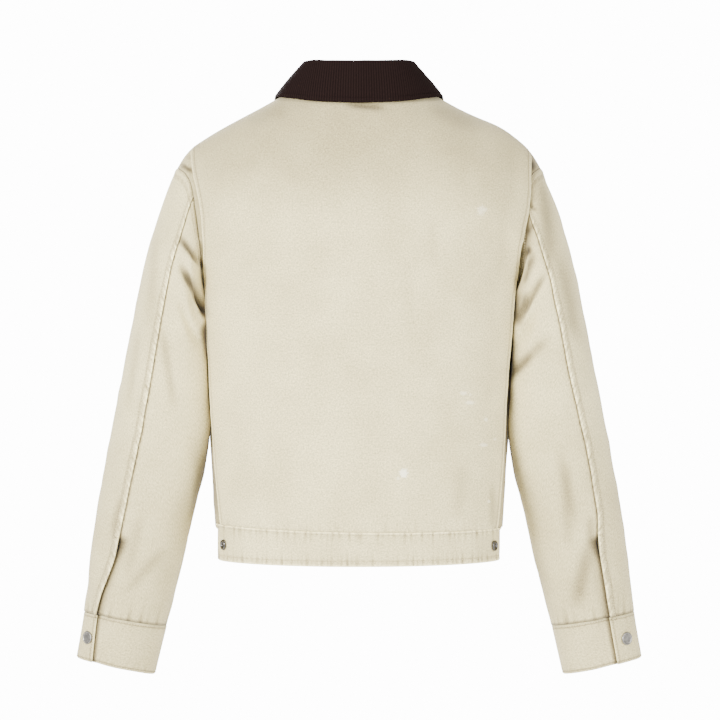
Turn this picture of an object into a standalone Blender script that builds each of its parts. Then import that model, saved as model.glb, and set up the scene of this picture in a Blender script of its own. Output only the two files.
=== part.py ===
"""A cropped canvas jacket with a corduroy collar, filled out as when worn.

Metres, +Z up. The fronts face -Y, and +X is the wearer's left. The origin is at the middle of the
neck, level with the shoulders' tops beside it. Every cloth piece is a thin closed wall.
"""

import math

import bmesh
import bpy
from mathutils import Matrix, Vector

# ---- cloth
CANVAS = 0.0016  # one layer of canvas
BAND = 0.0026  # the folded canvas of a cuff or waistband
CORDUROY = 0.0026  # collar fall with its under collar
STAND = 0.0022  # collar stand
STAND_RISE = 0.0006  # gap under the stand at the centre back and front
STAND_SIDE_RISE = 0.0030  # and this much more where the shoulders' slope meets it
FALL_LIFT = 0.0014  # the fall lies this far off the body
FALL_BOW = 0.0010  # and bows out this much between its fold and its edge
ROLL_RISE = 0.0012  # centre of the fold's roll, above the stand
TAPE = 0.0010  # zip tape
GAP = 0.0003  # between pieces at a seam
SHARP = 40.0  # degrees: edges sharper than this are shaded sharp

# ---- body
BAND_TOP = -0.5088  # the seam between body and waistband
BAND_HEIGHT = 0.0390
BAND_DIP = 0.0035  # how much deeper the hem hangs at the centre
BAND_PROUD = 0.0004  # the band stands this far off the body's surface
FIRST_ROW = 0.0006  # v of the panels' lower edge, a gap above the band
SHOULDER_POINT = -0.0850  # top of the armhole
UNDERARM = -0.2350
NECK_HALF_WIDTH = 0.0780
NECK_BACK = -0.0020  # height of the neckline at the centre back
NECK_FRONT = -0.0550
SECTION_POWER = 2.5  # of the body's rounded-box section
SHOULDER_ROUND = 0.1100  # drop over which the shoulder rounds off
SHOULDER_POWER = 2.2
ARMHOLE_TUCK = 0.0700  # how far the armhole's edge lies inside the body's own side
ARMHOLE_RISE = 0.0600
ARMHOLE_BEND = 1.25
ZIP_HALF_GAP = 0.0065  # from the centre to each front's edge

# ---- back pleats
PLEAT_DEPTH = 0.0200  # hidden under the fold
FOLD_LIFT = 0.0020  # the folded edge stands this proud
FOLD_BLEND = 0.0450  # over this width
FOLD_DOUBLE = 0.0140  # width of the doubled edge
FOLD_THINS = 0.4  # share of that width in which it thins to one layer
FOLD_SPREAD = 1.35  # metres across the back per unit of u, over the half width
DOUBLED = 0.0033  # thickness of the doubled edge
BACKING_DROP = 0.0027  # the strip below the fold lies this deep

# ---- sleeve
ARM_POWER = 2.15
SLIT_TOP = 0.3940  # along the arm
CUFF_TOP = 0.4975
CUFF_END = 0.5530
FRONT_SEAM = 225.0  # degrees round the sleeve
BLEND_END = 0.0900  # the armhole's own outline fades out over this length
CUFF_LAP = 32.0  # degrees of overlap of the cuff's ends
CUFF_SINK = 0.0033  # the inner end lies this deep
CUFF_SINK_FROM = 325.0  # degrees round the cuff
CUFF_LEAN = 60.0  # degrees over which its ends turn to follow the seam
SEAM_SLACK = 1.3  # widens the gap where the sleeve's section is flatter
SLIT_DROP = 0.0024
SLIT_LAP = 6.0

RIDGE_STEEP = 0.88  # the shoulder's slope under the collar
RIDGE_DROP = 0.0040  # the collar counts as on the ridge down to this far below it
RIDGE_REACH = 0.0140  # and this far before or behind it
RIDGE_RADIUS = 0.0500  # of the ridge's own round
COLUMN_TURN = 15.0  # degrees between the sleeve's columns at the armhole
NECK_TURNS = (0.0, 15.0, 30.0, 45.0, 60.0, 75.0, 90.0)
FRONT_END = 180.0 - math.degrees(math.asin(ZIP_HALF_GAP / NECK_HALF_WIDTH))

COLOURS = {
    "canvas": (0.745, 0.687, 0.570, 1.0),
    "corduroy": (0.028, 0.016, 0.014, 1.0),
    "nickel": (0.400, 0.390, 0.375, 1.0),
    "dark_nickel": (0.160, 0.155, 0.150, 1.0),
    "zip_tape": (0.560, 0.500, 0.400, 1.0),
}


def bound(value, low=0.0, high=1.0):
    return max(low, min(high, value))


def ease(value):
    value = bound(value)
    return value * value * (3 - 2 * value)


def signed_power(value, power):
    return math.copysign(abs(value) ** power, value)


class Table:
    """Rows of named columns, read on a smooth curve through the rows."""

    def __init__(self, columns, *rows):
        self.columns = columns
        self.rows = sorted(rows)

    def read(self, at, name):
        column = self.columns.index(name)
        points = [(row[0], row[column]) for row in self.rows]
        if at <= points[0][0]:
            return points[0][1]
        if at >= points[-1][0]:
            return points[-1][1]
        k = next(i for i in range(len(points) - 1) if at <= points[i + 1][0])
        (x0, y0), (x1, y1) = points[k], points[k + 1]
        step = (y1 - y0) / (x1 - x0)
        before = self.slope(points, k - 1, step)
        after = self.slope(points, k + 1, step)
        m0, m1 = (self.tangent(a, b) for a, b in ((before, step), (step, after)))
        t, width = (at - x0) / (x1 - x0), x1 - x0
        return (
            (1 + 2 * t) * (1 - t) ** 2 * y0
            + t * (1 - t) ** 2 * width * m0
            + t * t * (3 - 2 * t) * y1
            + t * t * (t - 1) * width * m1
        )

    @staticmethod
    def slope(points, k, otherwise):
        if k < 0 or k + 1 >= len(points):
            return otherwise
        return (points[k + 1][1] - points[k][1]) / (points[k + 1][0] - points[k][0])

    @staticmethod
    def tangent(before, after):
        if before * after <= 0:
            return 0.0
        return 2 * before * after / (before + after)


RIDGE = Table(
    ("across", "height"),
    (0.0000, 0.0260),
    (0.0400, 0.0195),
    (0.0780, 0.0045),
    (0.1168, -0.0165),
    (0.1404, -0.0290),
    (0.1630, -0.0413),
    (0.1807, -0.0520),
    (0.1950, -0.0617),
    (0.2040, -0.0710),
    (0.2130, -0.0850),
    (0.2300, -0.1200),
)

BODY = Table(
    ("height", "edge", "back", "front"),
    (-0.5500, 0.1660, 0.1120, 0.1150),
    (-0.5088, 0.1695, 0.1140, 0.1170),
    (-0.4340, 0.1740, 0.1180, 0.1210),
    (-0.3600, 0.1785, 0.1210, 0.1240),
    (-0.3000, 0.1820, 0.1220, 0.1250),
    (-0.2600, 0.1835, 0.1220, 0.1240),
    (-0.2350, 0.1830, 0.1215, 0.1220),
    (-0.2000, 0.1840, 0.1205, 0.1190),
    (-0.1700, 0.1865, 0.1190, 0.1140),
    (-0.1345, 0.1910, 0.1160, 0.1060),
    (-0.1060, 0.1965, 0.1120, 0.0990),
    (-0.0940, 0.2035, 0.1100, 0.0960),
    (-0.0850, 0.2130, 0.1080, 0.0930),
    (0.0300, 0.2130, 0.0960, 0.0700),
)

FOLD = Table(
    ("height", "across"),
    (-0.5100, 0.1610),
    (-0.4340, 0.1680),
    (-0.3360, 0.1740),
    (-0.2620, 0.1785),
    (-0.2000, 0.1800),
    (-0.1475, 0.1820),
    (-0.1170, 0.1860),
    (-0.0930, 0.1910),
    (-0.0770, 0.1950),
    (-0.0650, 0.1980),
)

SLEEVE = Table(
    ("along", "outer_x", "outer_z", "inner_x", "inner_z", "middle_y", "half_depth",
     "seam_left", "seam_right"),
    (0.0000, 0.2130, -0.0850, 0.1830, -0.2350, 0.0000, 0.0500, 60.0, 60.0),
    (0.0060, 0.2165, -0.0905, 0.1852, -0.2325, 0.0000, 0.0535, 62.0, 62.0),
    (0.0130, 0.2205, -0.0995, 0.1866, -0.2345, 0.0000, 0.0570, 64.0, 64.0),
    (0.0250, 0.2270, -0.1165, 0.1862, -0.2425, 0.0000, 0.0620, 68.0, 68.0),
    (0.0500, 0.2385, -0.1490, 0.1854, -0.2580, -0.0010, 0.0690, 75.0, 75.0),
    (0.0900, 0.2527, -0.1979, 0.1842, -0.2840, -0.0030, 0.0745, 81.0, 79.0),
    (0.1400, 0.2644, -0.2524, 0.1821, -0.3195, -0.0060, 0.0755, 78.0, 74.5),
    (0.1900, 0.2750, -0.3065, 0.1797, -0.3581, -0.0090, 0.0735, 75.0, 71.0),
    (0.2400, 0.2856, -0.3586, 0.1774, -0.3962, -0.0120, 0.0700, 72.5, 66.0),
    (0.3000, 0.2973, -0.4174, 0.1822, -0.4415, -0.0160, 0.0660, 71.0, 63.0),
    (0.3600, 0.3084, -0.4778, 0.1959, -0.4948, -0.0210, 0.0610, 70.0, 64.5),
    (0.4200, 0.3179, -0.5368, 0.2085, -0.5504, -0.0270, 0.0550, 68.0, 71.0),
    (0.4975, 0.3271, -0.6108, 0.2286, -0.6279, -0.0350, 0.0475, 52.0, 71.0),
    (0.5530, 0.3368, -0.6658, 0.2430, -0.6863, -0.0400, 0.0420, 58.0, 72.0),
)

# Soft folds of the sleeves: where along and round, how long and wide, how deep, and their slant.
ARM_FOLDS = Table(
    ("along", "turn", "half_length", "half_width", "depth", "slant"),
    (0.060, 112.0, 0.040, 0.0110, 0.0060, 62.0),
    (0.100, 118.0, 0.045, 0.0120, 0.0055, 58.0),
    (0.075, 240.0, 0.045, 0.0120, 0.0050, -60.0),
    (0.115, 246.0, 0.045, 0.0120, 0.0045, -56.0),
    (0.250, 214.0, 0.050, 0.0140, 0.0030, 40.0),
    (0.310, 218.0, 0.050, 0.0140, 0.0030, -36.0),
)

COLLAR = Table(
    ("turn", "inward", "rise", "roll", "edge_x", "edge_z"),
    (0.0, 0.0060, 0.0302, 0.0046, 0.0000, -0.0172),
    (30.0, 0.0065, 0.0300, 0.0046, 0.0430, -0.0155),
    (60.0, 0.0115, 0.0284, 0.0046, 0.0770, -0.0108),
    (90.0, 0.0180, 0.0270, 0.0046, 0.0985, -0.0050),
    (115.0, 0.0135, 0.0260, 0.0044, 0.0985, -0.0280),
    (140.0, 0.0080, 0.0220, 0.0042, 0.0850, -0.0620),
    (160.0, 0.0050, 0.0180, 0.0040, 0.0640, -0.0920),
    (175.3, 0.0030, 0.0150, 0.0038, 0.0430, -0.1180),
)


# ---- the body's surface


def edge_ratio(height):
    """How far out the armhole's edge lies on the body's own section: 1 is its side."""
    rise = bound((height - UNDERARM) / ARMHOLE_RISE)
    return 1 - ARMHOLE_TUCK * rise**ARMHOLE_BEND


def neck_height(across, side):
    """Height of the neckline above a distance from the centre."""
    level = math.sqrt(max(0.0, 1 - (across / NECK_HALF_WIDTH) ** 2))
    top = RIDGE.read(NECK_HALF_WIDTH, "height")
    lowest = NECK_BACK if side > 0 else NECK_FRONT
    return top - (top - lowest) * level


def top_height(across, side):
    if across >= NECK_HALF_WIDTH:
        return RIDGE.read(across, "height")
    return neck_height(across, side)


def torso(side, u, v, hand=1):
    """A point of the body: u runs from the centre to the side or armhole, v from the band up.

    side is 1 on the back and -1 on the front, and hand 1 on the wearer's left.
    """
    edge_height = BAND_TOP + v * (SHOULDER_POINT - BAND_TOP)
    ratio = edge_ratio(edge_height)
    half_width = BODY.read(edge_height, "edge") / ratio
    turn = u * math.asin(bound(ratio ** (SECTION_POWER / 2)))
    across = half_width * signed_power(math.sin(turn), 2 / SECTION_POWER)
    if v <= 0:
        middle = 1 - (across / half_width) ** 2
        height = BAND_TOP + v * (BAND_HEIGHT + BAND_DIP * bound(middle))
    else:
        top_width = BODY.read(SHOULDER_POINT, "edge") / edge_ratio(SHOULDER_POINT)
        end_turn = u * math.asin(edge_ratio(SHOULDER_POINT) ** (SECTION_POWER / 2))
        end = top_width * abs(math.sin(end_turn)) ** (2 / SECTION_POWER)
        height = BAND_TOP + v * (top_height(end, side) - BAND_TOP)
    depth = BODY.read(height, "back" if side > 0 else "front")
    depth *= signed_power(math.cos(turn), 2 / SECTION_POWER) * rounding(across, height)
    return Vector((hand * across, side * (depth + GAP / 2), height))


def rounding(across, height):
    """How much of the body's depth is left this far below the shoulder's ridge."""
    drop = (RIDGE.read(abs(across), "height") - height) / SHOULDER_ROUND
    full = 1 - bound(abs(1 - bound(drop, -1.0, 1.0))) ** SHOULDER_POWER
    if drop < 0:
        return -((1 - (1 - bound(-drop)) ** SHOULDER_POWER) ** (1 / SHOULDER_POWER))
    return full ** (1 / SHOULDER_POWER)


def surface_y(side, across, height):
    """Depth of the body's surface behind or before a point."""
    level = bound(height, BAND_TOP, 0.02)
    half_width = BODY.read(level, "edge") / edge_ratio(min(level, SHOULDER_POINT))
    share = 1 - bound(abs(across) / half_width) ** SECTION_POWER
    depth = BODY.read(level, "back" if side > 0 else "front") * share ** (1 / SECTION_POWER)
    return side * depth * max(0.0, rounding(across, height))


def u_at(across, v):
    """The u of a point this far across, in row v."""
    edge_height = BAND_TOP + v * (SHOULDER_POINT - BAND_TOP)
    ratio = edge_ratio(edge_height)
    half_width = BODY.read(edge_height, "edge") / ratio
    turn = math.asin(bound(across / half_width) ** (SECTION_POWER / 2))
    return turn / math.asin(bound(ratio ** (SECTION_POWER / 2)))


def fold_u(v, inward=0.0):
    """The u of the pleat's folded edge in row v, or of a line further in."""
    height = BAND_TOP + v * (RIDGE.read(0.198, "height") - BAND_TOP)
    return u_at(FOLD.read(height, "across") - inward, v)


def normal(surface, a, b):
    """The outward normal of a surface of two parameters."""
    step = 1e-3
    along_a = surface(a + step, b) - surface(a - step, b)
    along_b = surface(a, b + step) - surface(a, b - step)
    return along_a.cross(along_b).normalized()


def torso_normal(side, u, v, hand=1):
    facing = normal(lambda a, b: torso(side, a, b, hand), max(u, 2e-3), min(v, 1 - 1e-3))
    if u < 2e-3:
        facing.x = 0.0
    return facing.normalized() * (-side * hand)


def body_rows():
    """v of every row above the band; those of the armhole match the sleeve's columns."""
    span = SHOULDER_POINT - BAND_TOP
    lower = [k / 9 * (UNDERARM - BAND_TOP) / span for k in range(9)]
    middle, half = (SHOULDER_POINT + UNDERARM) / 2, (SHOULDER_POINT - UNDERARM) / 2
    turns = [180.0 - COLUMN_TURN * k for k in range(13)]
    upper = [(middle + half * math.cos(math.radians(t)) - BAND_TOP) / span for t in turns]
    return lower + upper


# ---- making solids


def material(name, roughness=0.85, metallic=0.0):
    made = bpy.data.materials.get(name)
    if made is None:
        made = bpy.data.materials.new(name)
        made.use_nodes = True
        shader = made.node_tree.nodes["Principled BSDF"]
        shader.inputs["Base Color"].default_value = COLOURS[name]
        shader.inputs["Roughness"].default_value = roughness
        shader.inputs["Metallic"].default_value = metallic
    return made


def add_object(name, shape, finish):
    """Links a bmesh as one named object, smooth shaded."""
    mesh = bpy.data.meshes.new(name)
    shape.to_mesh(mesh)
    shape.free()
    mesh.materials.append(finish)
    mesh.shade_smooth()
    mesh.set_sharp_from_angle(angle=math.radians(SHARP))
    made = bpy.data.objects.new(name, mesh)
    bpy.context.scene.collection.objects.link(made)
    return made


def cloth_wall(name, outer, inner, finish):
    """One closed wall between two sheets of points with the same rows and columns."""
    rows, columns = len(outer), len(outer[0])
    shape = bmesh.new()
    place = shape.verts.layers.int.new("place")
    bmesh.ops.create_grid(shape, x_segments=columns - 1, y_segments=rows - 1, size=1)
    shape.verts.ensure_lookup_table()
    for number, vertex in enumerate(shape.verts):
        vertex[place] = number
        vertex.co = outer[number // columns][number % columns]
    made = bmesh.ops.extrude_face_region(shape, geom=shape.faces[:], use_keep_orig=True)
    for vertex in made["geom"]:
        if isinstance(vertex, bmesh.types.BMVert):
            number = vertex[place]
            vertex.co = inner[number // columns][number % columns]
    bmesh.ops.recalc_face_normals(shape, faces=shape.faces[:])
    if shape.calc_volume(signed=True) < 0:
        bmesh.ops.reverse_faces(shape, faces=shape.faces[:])
    return add_object(name, shape, finish)


def keep_side(point, side):
    """Holds a body point on its own side of the side and shoulder seams."""
    point.y = side * max(side * point.y, GAP / 2)
    return point


def body_wall(name, side, hand, rows, columns, lift, thickness, finish):
    """A panel of the body. columns(v) gives (u, hand) for each column of a row."""
    outer, inner = [], []
    for v in rows:
        out_row, in_row = [], []
        for u, on in columns(v):
            on = on * hand
            facing = torso_normal(side, u, v, on)
            base = torso(side, u, v, on)
            top = base + facing * lift(u, v)
            low = base + facing * (lift(u, v) - thickness(u, v))
            if v <= 0:
                top.z = low.z = base.z
            out_row.append(keep_side(top, side))
            in_row.append(keep_side(low, side))
        outer.append(out_row)
        inner.append(in_row)
    return cloth_wall(name, outer, inner, finish)


# ---- back, fronts and waistband


def fold_distance(u, v):
    """About how far, in metres, a point of the back lies inside the folded edge."""
    half_width = BODY.read(BAND_TOP + v * (SHOULDER_POINT - BAND_TOP), "edge")
    return (fold_u(v) - u) * half_width * FOLD_SPREAD


def make_back(finish):
    """Back centre panel, each long edge folded under and standing a little proud."""
    corner = u_at(NECK_HALF_WIDTH, 1.0) / fold_u(1.0)
    neck = [u_at(NECK_HALF_WIDTH * math.sin(math.radians(t)), 1.0) / fold_u(1.0) for t in NECK_TURNS]
    shoulder = [corner + (1 - corner) * k / 7 for k in range(1, 8)]
    half = neck[1:] + shoulder

    def columns(v):
        edge = fold_u(v)
        left = [(share * edge, 1) for share in half]
        return [(u, -1) for u, _ in reversed(left)] + [(0.0, 1)] + left

    def lift(u, v):
        return FOLD_LIFT * (1 - ease(fold_distance(u, v) / FOLD_BLEND))

    def thickness(u, v):
        inside = bound((FOLD_DOUBLE - fold_distance(u, v)) / (FOLD_THINS * FOLD_DOUBLE))
        return CANVAS + (DOUBLED - CANVAS) * ease(inside)

    rows = [FIRST_ROW] + body_rows()[1:]
    body_wall("back_centre", 1, 1, rows, columns, lift, thickness, finish)


def make_back_side(name, hand, finish):
    """The strip below a pleat's fold, out to the armhole and the side seam."""

    def columns(v):
        start = fold_u(v, PLEAT_DEPTH)
        return [(start + (1 - start) * k / 5, 1) for k in range(6)]

    def lift(u, v):
        under = fold_u(v)
        return -BACKING_DROP * (1 - ease((u - under) / (1 - under)))

    rows = [FIRST_ROW] + body_rows()[1:]
    body_wall(name, 1, hand, rows, columns, lift, lambda u, v: CANVAS, finish)


def make_front(name, hand, finish):
    turns = [180.0 - FRONT_END] + list(NECK_TURNS[1:])
    neck = [u_at(NECK_HALF_WIDTH * math.sin(math.radians(t)), 1.0) for t in turns]
    start = neck[0]
    shares = [(u - start) / (1 - start) for u in neck]
    shares += [shares[-1] + (1 - shares[-1]) * k / 7 for k in range(1, 8)]

    def columns(v):
        first = u_at(ZIP_HALF_GAP, v)
        return [(first + (1 - first) * share, 1) for share in shares]

    rows = [FIRST_ROW] + body_rows()[1:]
    body_wall(name, -1, hand, rows, columns, lambda u, v: 0.0, lambda u, v: CANVAS, finish)


def make_waistband(finish):
    """Back band from side seam to side seam, and one band under each front."""
    rows = [-1.0, -0.5, -0.0002]

    def back(v):
        left = [(k / 11, 1) for k in range(1, 12)]
        return [(u, -1) for u, _ in reversed(left)] + [(0.0, 1)] + left

    def front(v):
        first = u_at(ZIP_HALF_GAP, 0.0)
        return [(first + (1 - first) * k / 11, 1) for k in range(12)]

    body_wall("waistband_back", 1, 1, rows, back, lambda u, v: BAND_PROUD, lambda u, v: BAND, finish)
    for name, hand in (("waistband_left", 1), ("waistband_right", -1)):
        body_wall(name, -1, hand, rows, front, lambda u, v: BAND_PROUD, lambda u, v: BAND, finish)


# ---- sleeves and cuffs


def ring(along, turn):
    """A point of the plain sleeve: turn is in degrees, 0 outside, 90 behind, 180 inside."""
    outer = Vector((SLEEVE.read(along, "outer_x"), 0, SLEEVE.read(along, "outer_z")))
    inner = Vector((SLEEVE.read(along, "inner_x"), 0, SLEEVE.read(along, "inner_z")))
    across = signed_power(math.cos(math.radians(turn)), 2 / ARM_POWER)
    behind = signed_power(math.sin(math.radians(turn)), 2 / ARM_POWER)
    point = (outer + inner) / 2 + (outer - inner) / 2 * across
    point.y = SLEEVE.read(along, "middle_y") + SLEEVE.read(along, "half_depth") * behind
    return point


def armhole(turn):
    """A point of the armhole's edge on the body, and the body's normal there."""
    middle, half = (SHOULDER_POINT + UNDERARM) / 2, (SHOULDER_POINT - UNDERARM) / 2
    height = middle + half * math.cos(math.radians(turn))
    v = (height - BAND_TOP) / (SHOULDER_POINT - BAND_TOP)
    side = 1 if math.sin(math.radians(turn)) >= 0 else -1
    return torso(side, 1.0, v), torso_normal(side, 1.0, v)


def sleeve(along, turn):
    """The sleeve's outer surface: the armhole's outline fades into the arm's rings."""
    point = ring(along, turn)
    share = 1 - ease(along / BLEND_END)
    if share > 0:
        # the armhole is read by height, which its own turn gives directly
        point += (armhole(turn)[0] - ring_by_height(turn)) * share
    return point + fold_shift(along, turn)


def ring_by_height(turn):
    """The plain first ring, at the height that the armhole has at this turn."""
    outer = Vector((SLEEVE.read(0.0, "outer_x"), 0, SHOULDER_POINT))
    inner = Vector((SLEEVE.read(0.0, "inner_x"), 0, UNDERARM))
    point = (outer + inner) / 2 + (outer - inner) / 2 * signed_power(
        math.cos(math.radians(turn)), 2 / ARM_POWER
    )
    point.y = SLEEVE.read(0.0, "half_depth") * signed_power(
        math.sin(math.radians(turn)), 2 / ARM_POWER
    )
    return point


def fold_shift(along, turn):
    """The soft folds: troughs pressed into the sleeve."""
    depth = 0.0
    for row in ARM_FOLDS.rows:
        fold = dict(zip(ARM_FOLDS.columns, row))
        slant = math.radians(fold["slant"])
        radius = SLEEVE.read(fold["along"], "half_depth")
        run = along - fold["along"]
        side = radius * math.radians((turn - fold["turn"] + 180) % 360 - 180)
        length = run * math.cos(slant) + side * math.sin(slant)
        width = side * math.cos(slant) - run * math.sin(slant)
        reach = bound(1 - (length / fold["half_length"]) ** 2)
        depth += fold["depth"] * reach * math.exp(-((width / fold["half_width"]) ** 2))
    middle = (ring(along, 0.0) + ring(along, 180.0)) / 2
    inward = middle - ring(along, turn)
    depth *= ease(along / 0.03) * (1 - ease((along - 0.46) / 0.03))
    return inward.normalized() * depth


def facing_out(along, turn):
    step, swing = 1e-3, 0.5
    start = max(along, step)
    down = sleeve(start + step, turn) - sleeve(start - step, turn)
    round_it = sleeve(start, turn + swing) - sleeve(start, turn - swing)
    return down.cross(round_it).normalized()


def sleeve_seam(along, hand):
    return SLEEVE.read(along, "seam_left" if hand > 0 else "seam_right")


def mirrored(point, hand):
    return Vector((hand * point.x, point.y, point.z))


def armhole_rim(turn):
    """Outer and inner points of the sleeve's first row, a gap away from the body's edge."""
    edge, facing = armhole(turn)
    swing = 2.0
    before, after = armhole(turn - swing)[0], armhole(turn + swing)[0]
    away = facing.cross(after - before).normalized()
    v = (edge.z - BAND_TOP) / (SHOULDER_POINT - BAND_TOP)
    side = 1 if math.sin(math.radians(turn)) >= 0 else -1
    if away.dot(edge - torso(side, 0.97, v - 0.01)) < 0:
        away = -away
    return edge + away * GAP, edge - facing * CANVAS + away * GAP


def sleeve_wall(name, hand, stations, turns, tuck, finish):
    """A sleeve panel. turns(along) lists its columns, tuck(along, share) its inward offset."""
    outer, inner = [], []
    for along in stations:
        listed = turns(along)
        out_row, in_row = [], []
        for number, turn in enumerate(listed):
            if along == 0:
                top, low = armhole_rim(turn)
            else:
                facing = facing_out(along, turn)
                base = sleeve(along, turn) - facing * tuck(along, number)
                top, low = base, base - facing * CANVAS
            out_row.append(mirrored(top, hand))
            in_row.append(mirrored(low, hand))
        outer.append(out_row)
        inner.append(in_row)
    return cloth_wall(name, outer, inner, finish)


STATIONS = (
    0.0, 0.006, 0.013, 0.025, 0.040, 0.056, 0.072, 0.090, 0.110, 0.130, 0.155, 0.185,
    0.220, 0.250, 0.280, 0.310, 0.350, 0.380, 0.394, 0.410, 0.440, 0.475, CUFF_TOP - GAP,
)  # fmt: skip


def seam_gap(along):
    """Half the gap between two sleeve panels, in degrees."""
    return math.degrees(GAP / 2 / SLEEVE.read(along, "half_depth")) * SEAM_SLACK


def make_sleeve(hand, word, finish):
    upper_columns = 13
    under_columns = 11

    def upper(along):
        first, last = FRONT_SEAM - 360 + seam_gap(along), sleeve_seam(along, hand) - seam_gap(along)
        return [first + (last - first) * k / upper_columns for k in range(upper_columns + 1)]

    def under(along):
        lap = SLIT_LAP * ease((along - SLIT_TOP - 0.012) / 0.03)
        first = sleeve_seam(along, hand) + seam_gap(along) - lap
        last = FRONT_SEAM - seam_gap(along)
        return [first + (last - first) * k / under_columns for k in range(under_columns + 1)]

    def under_tuck(along, number):
        share = {0: 1.0, 1: 1.0, 2: 0.6, 3: 0.2}.get(number, 0.0)
        return SLIT_DROP * share * ease((along - SLIT_TOP) / 0.012)

    sleeve_wall(f"sleeve_upper_{word}", hand, STATIONS, upper, lambda a, n: 0.0, finish)
    sleeve_wall(f"sleeve_under_{word}", hand, STATIONS, under, under_tuck, finish)


def make_cuff(hand, word, finish):
    """A band round the wrist whose inner end runs on below the outer one."""
    start = sleeve_seam(CUFF_TOP, hand)
    span = 360.0 + CUFF_LAP
    columns = 34
    stations = [CUFF_TOP + GAP, CUFF_TOP + 0.018, CUFF_TOP + 0.037, CUFF_END]
    outer, inner = [], []
    for along in stations:
        out_row, in_row = [], []
        lean = sleeve_seam(along, hand) - start
        for k in range(columns + 1):
            travelled = span * k / columns
            turn = start - travelled + lean * (1 - ease(travelled / CUFF_LEAN))
            turn += lean * ease((travelled - 360.0 + CUFF_LEAN) / CUFF_LEAN)
            facing = facing_out(min(along, CUFF_END - 0.002), turn)
            sunk = CUFF_SINK * ease((travelled - CUFF_SINK_FROM) / CUFF_LAP)
            top = ring(along, turn) - facing * sunk
            out_row.append(mirrored(top, hand))
            in_row.append(mirrored(top - facing * BAND, hand))
        outer.append(out_row)
        inner.append(in_row)
    return cloth_wall(f"cuff_{word}", outer, inner, finish)


# ---- collar


def collar_frame(turn, hand):
    """The neck seam's point, the fold's direction outward, and the fall's lower edge."""
    side = 1 if turn <= 90 else -1
    across = NECK_HALF_WIDTH * math.sin(math.radians(turn))
    seam = torso(side, u_at(across, 1.0), 1.0)
    if turn == 90:
        seam.y = 0.0
    edge = Vector((COLLAR.read(turn, "edge_x"), 0, COLLAR.read(turn, "edge_z")))
    if turn != 90:
        edge.y = surface_y(side, edge.x, edge.z)
    away = Vector((edge.x - seam.x, edge.y - seam.y, 0)).normalized()
    return mirrored(seam, hand), mirrored(edge, hand), mirrored(away, hand)


def clearance(point):
    """About how far a point lies outside the body, and the direction straight out."""
    side = 1 if point.y > 0 else -1
    step = 5e-4

    def beyond(x, z):
        return abs(point.y) - abs(surface_y(side, x, z))

    slope_x = (beyond(point.x + step, point.z) - beyond(point.x - step, point.z)) / (2 * step)
    slope_z = (beyond(point.x, point.z + step) - beyond(point.x, point.z - step)) / (2 * step)
    slope = Vector((slope_x, side, slope_z))
    return beyond(point.x, point.z) / slope.length, slope.normalized()


def rest_on_body(point, lift):
    """Moves a point out to lie at least this far from the body."""
    point = point.copy()
    ridge = RIDGE.read(abs(point.x), "height")
    if point.z > ridge - RIDGE_DROP and abs(point.y) < RIDGE_REACH:
        point.z = max(point.z, ridge + lift / RIDGE_STEEP - point.y**2 / (2 * RIDGE_RADIUS))
        return point
    for _ in range(4):
        if point.z >= RIDGE.read(abs(point.x), "height") - 5e-4:
            break
        away, outward = clearance(point)
        if away < lift:
            point += outward * (lift - away)
    return point


COLLAR_TURNS = NECK_TURNS + (105.0, 120.0, 135.0, 150.0, 165.0, FRONT_END)


def collar_columns():
    left = [(turn, 1) for turn in COLLAR_TURNS]
    return [(turn, -1) for turn in reversed(COLLAR_TURNS[1:])] + left


def stand_top(turn, hand):
    seam, _, away = collar_frame(turn, hand)
    top = seam - away * COLLAR.read(turn, "inward")
    return top + Vector((0, 0, COLLAR.read(turn, "rise")))


def make_collar(finish):
    outer, inner = [], []
    for level in (0.0, 0.5, 1.0):
        out_row, in_row = [], []
        for turn, hand in collar_columns():
            seam, _, away = collar_frame(turn, hand)
            rise = STAND_RISE + STAND_SIDE_RISE * math.sin(math.radians(turn)) ** 4
            low, top = seam + Vector((0, 0, rise)), stand_top(turn, hand)
            point = low.lerp(top, level)
            out_row.append(point)
            in_row.append(point - away * STAND)
        outer.append(out_row)
        inner.append(in_row)
    cloth_wall("collar_stand", outer, inner, finish)

    outer, inner = [], []
    for step in range(11):
        out_row = [fall_point(turn, hand, step) for turn, hand in collar_columns()]
        facings = [fall_facing(turn, hand, step) for turn, hand in collar_columns()]
        outer.append(out_row)
        inner.append([top - facing * CORDUROY for top, facing in zip(out_row, facings)])
    cloth_wall("collar_fall", outer, inner, finish)


def fall_profile(turn, hand):
    """Centre and radius of the fold's roll, and the angle at which the fall leaves it."""
    _, edge, away = collar_frame(turn, hand)
    radius = COLLAR.read(turn, "roll")
    start = stand_top(turn, hand) - away * STAND + Vector((0, 0, GAP * 2))
    centre = start + away * radius + Vector((0, 0, ROLL_RISE))
    edge = rest_on_body(edge, CORDUROY + FALL_LIFT)
    flat = (edge - centre).dot(Vector((away.x, away.y, 0)))
    reach = math.hypot(flat, edge.z - centre.z)
    leave = math.atan2(edge.z - centre.z, flat) + math.acos(bound(radius / reach))
    return start, centre, radius, leave, edge, away


def fall_point(turn, hand, step):
    start, centre, radius, leave, edge, away = fall_profile(turn, hand)
    if step == 0:
        return start
    if step <= 5:
        angle = math.pi + (leave - math.pi) * (step - 1) / 4
        return centre + away * (radius * math.cos(angle)) + Vector((0, 0, radius * math.sin(angle)))
    last = centre + away * (radius * math.cos(leave)) + Vector((0, 0, radius * math.sin(leave)))
    share = (step - 5) / 5
    point = last.lerp(edge, share)
    outward = away * math.cos(leave) + Vector((0, 0, math.sin(leave)))
    point += outward * (4 * FALL_BOW * share * (1 - share))
    return rest_on_body(point, CORDUROY + FALL_LIFT)


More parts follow.
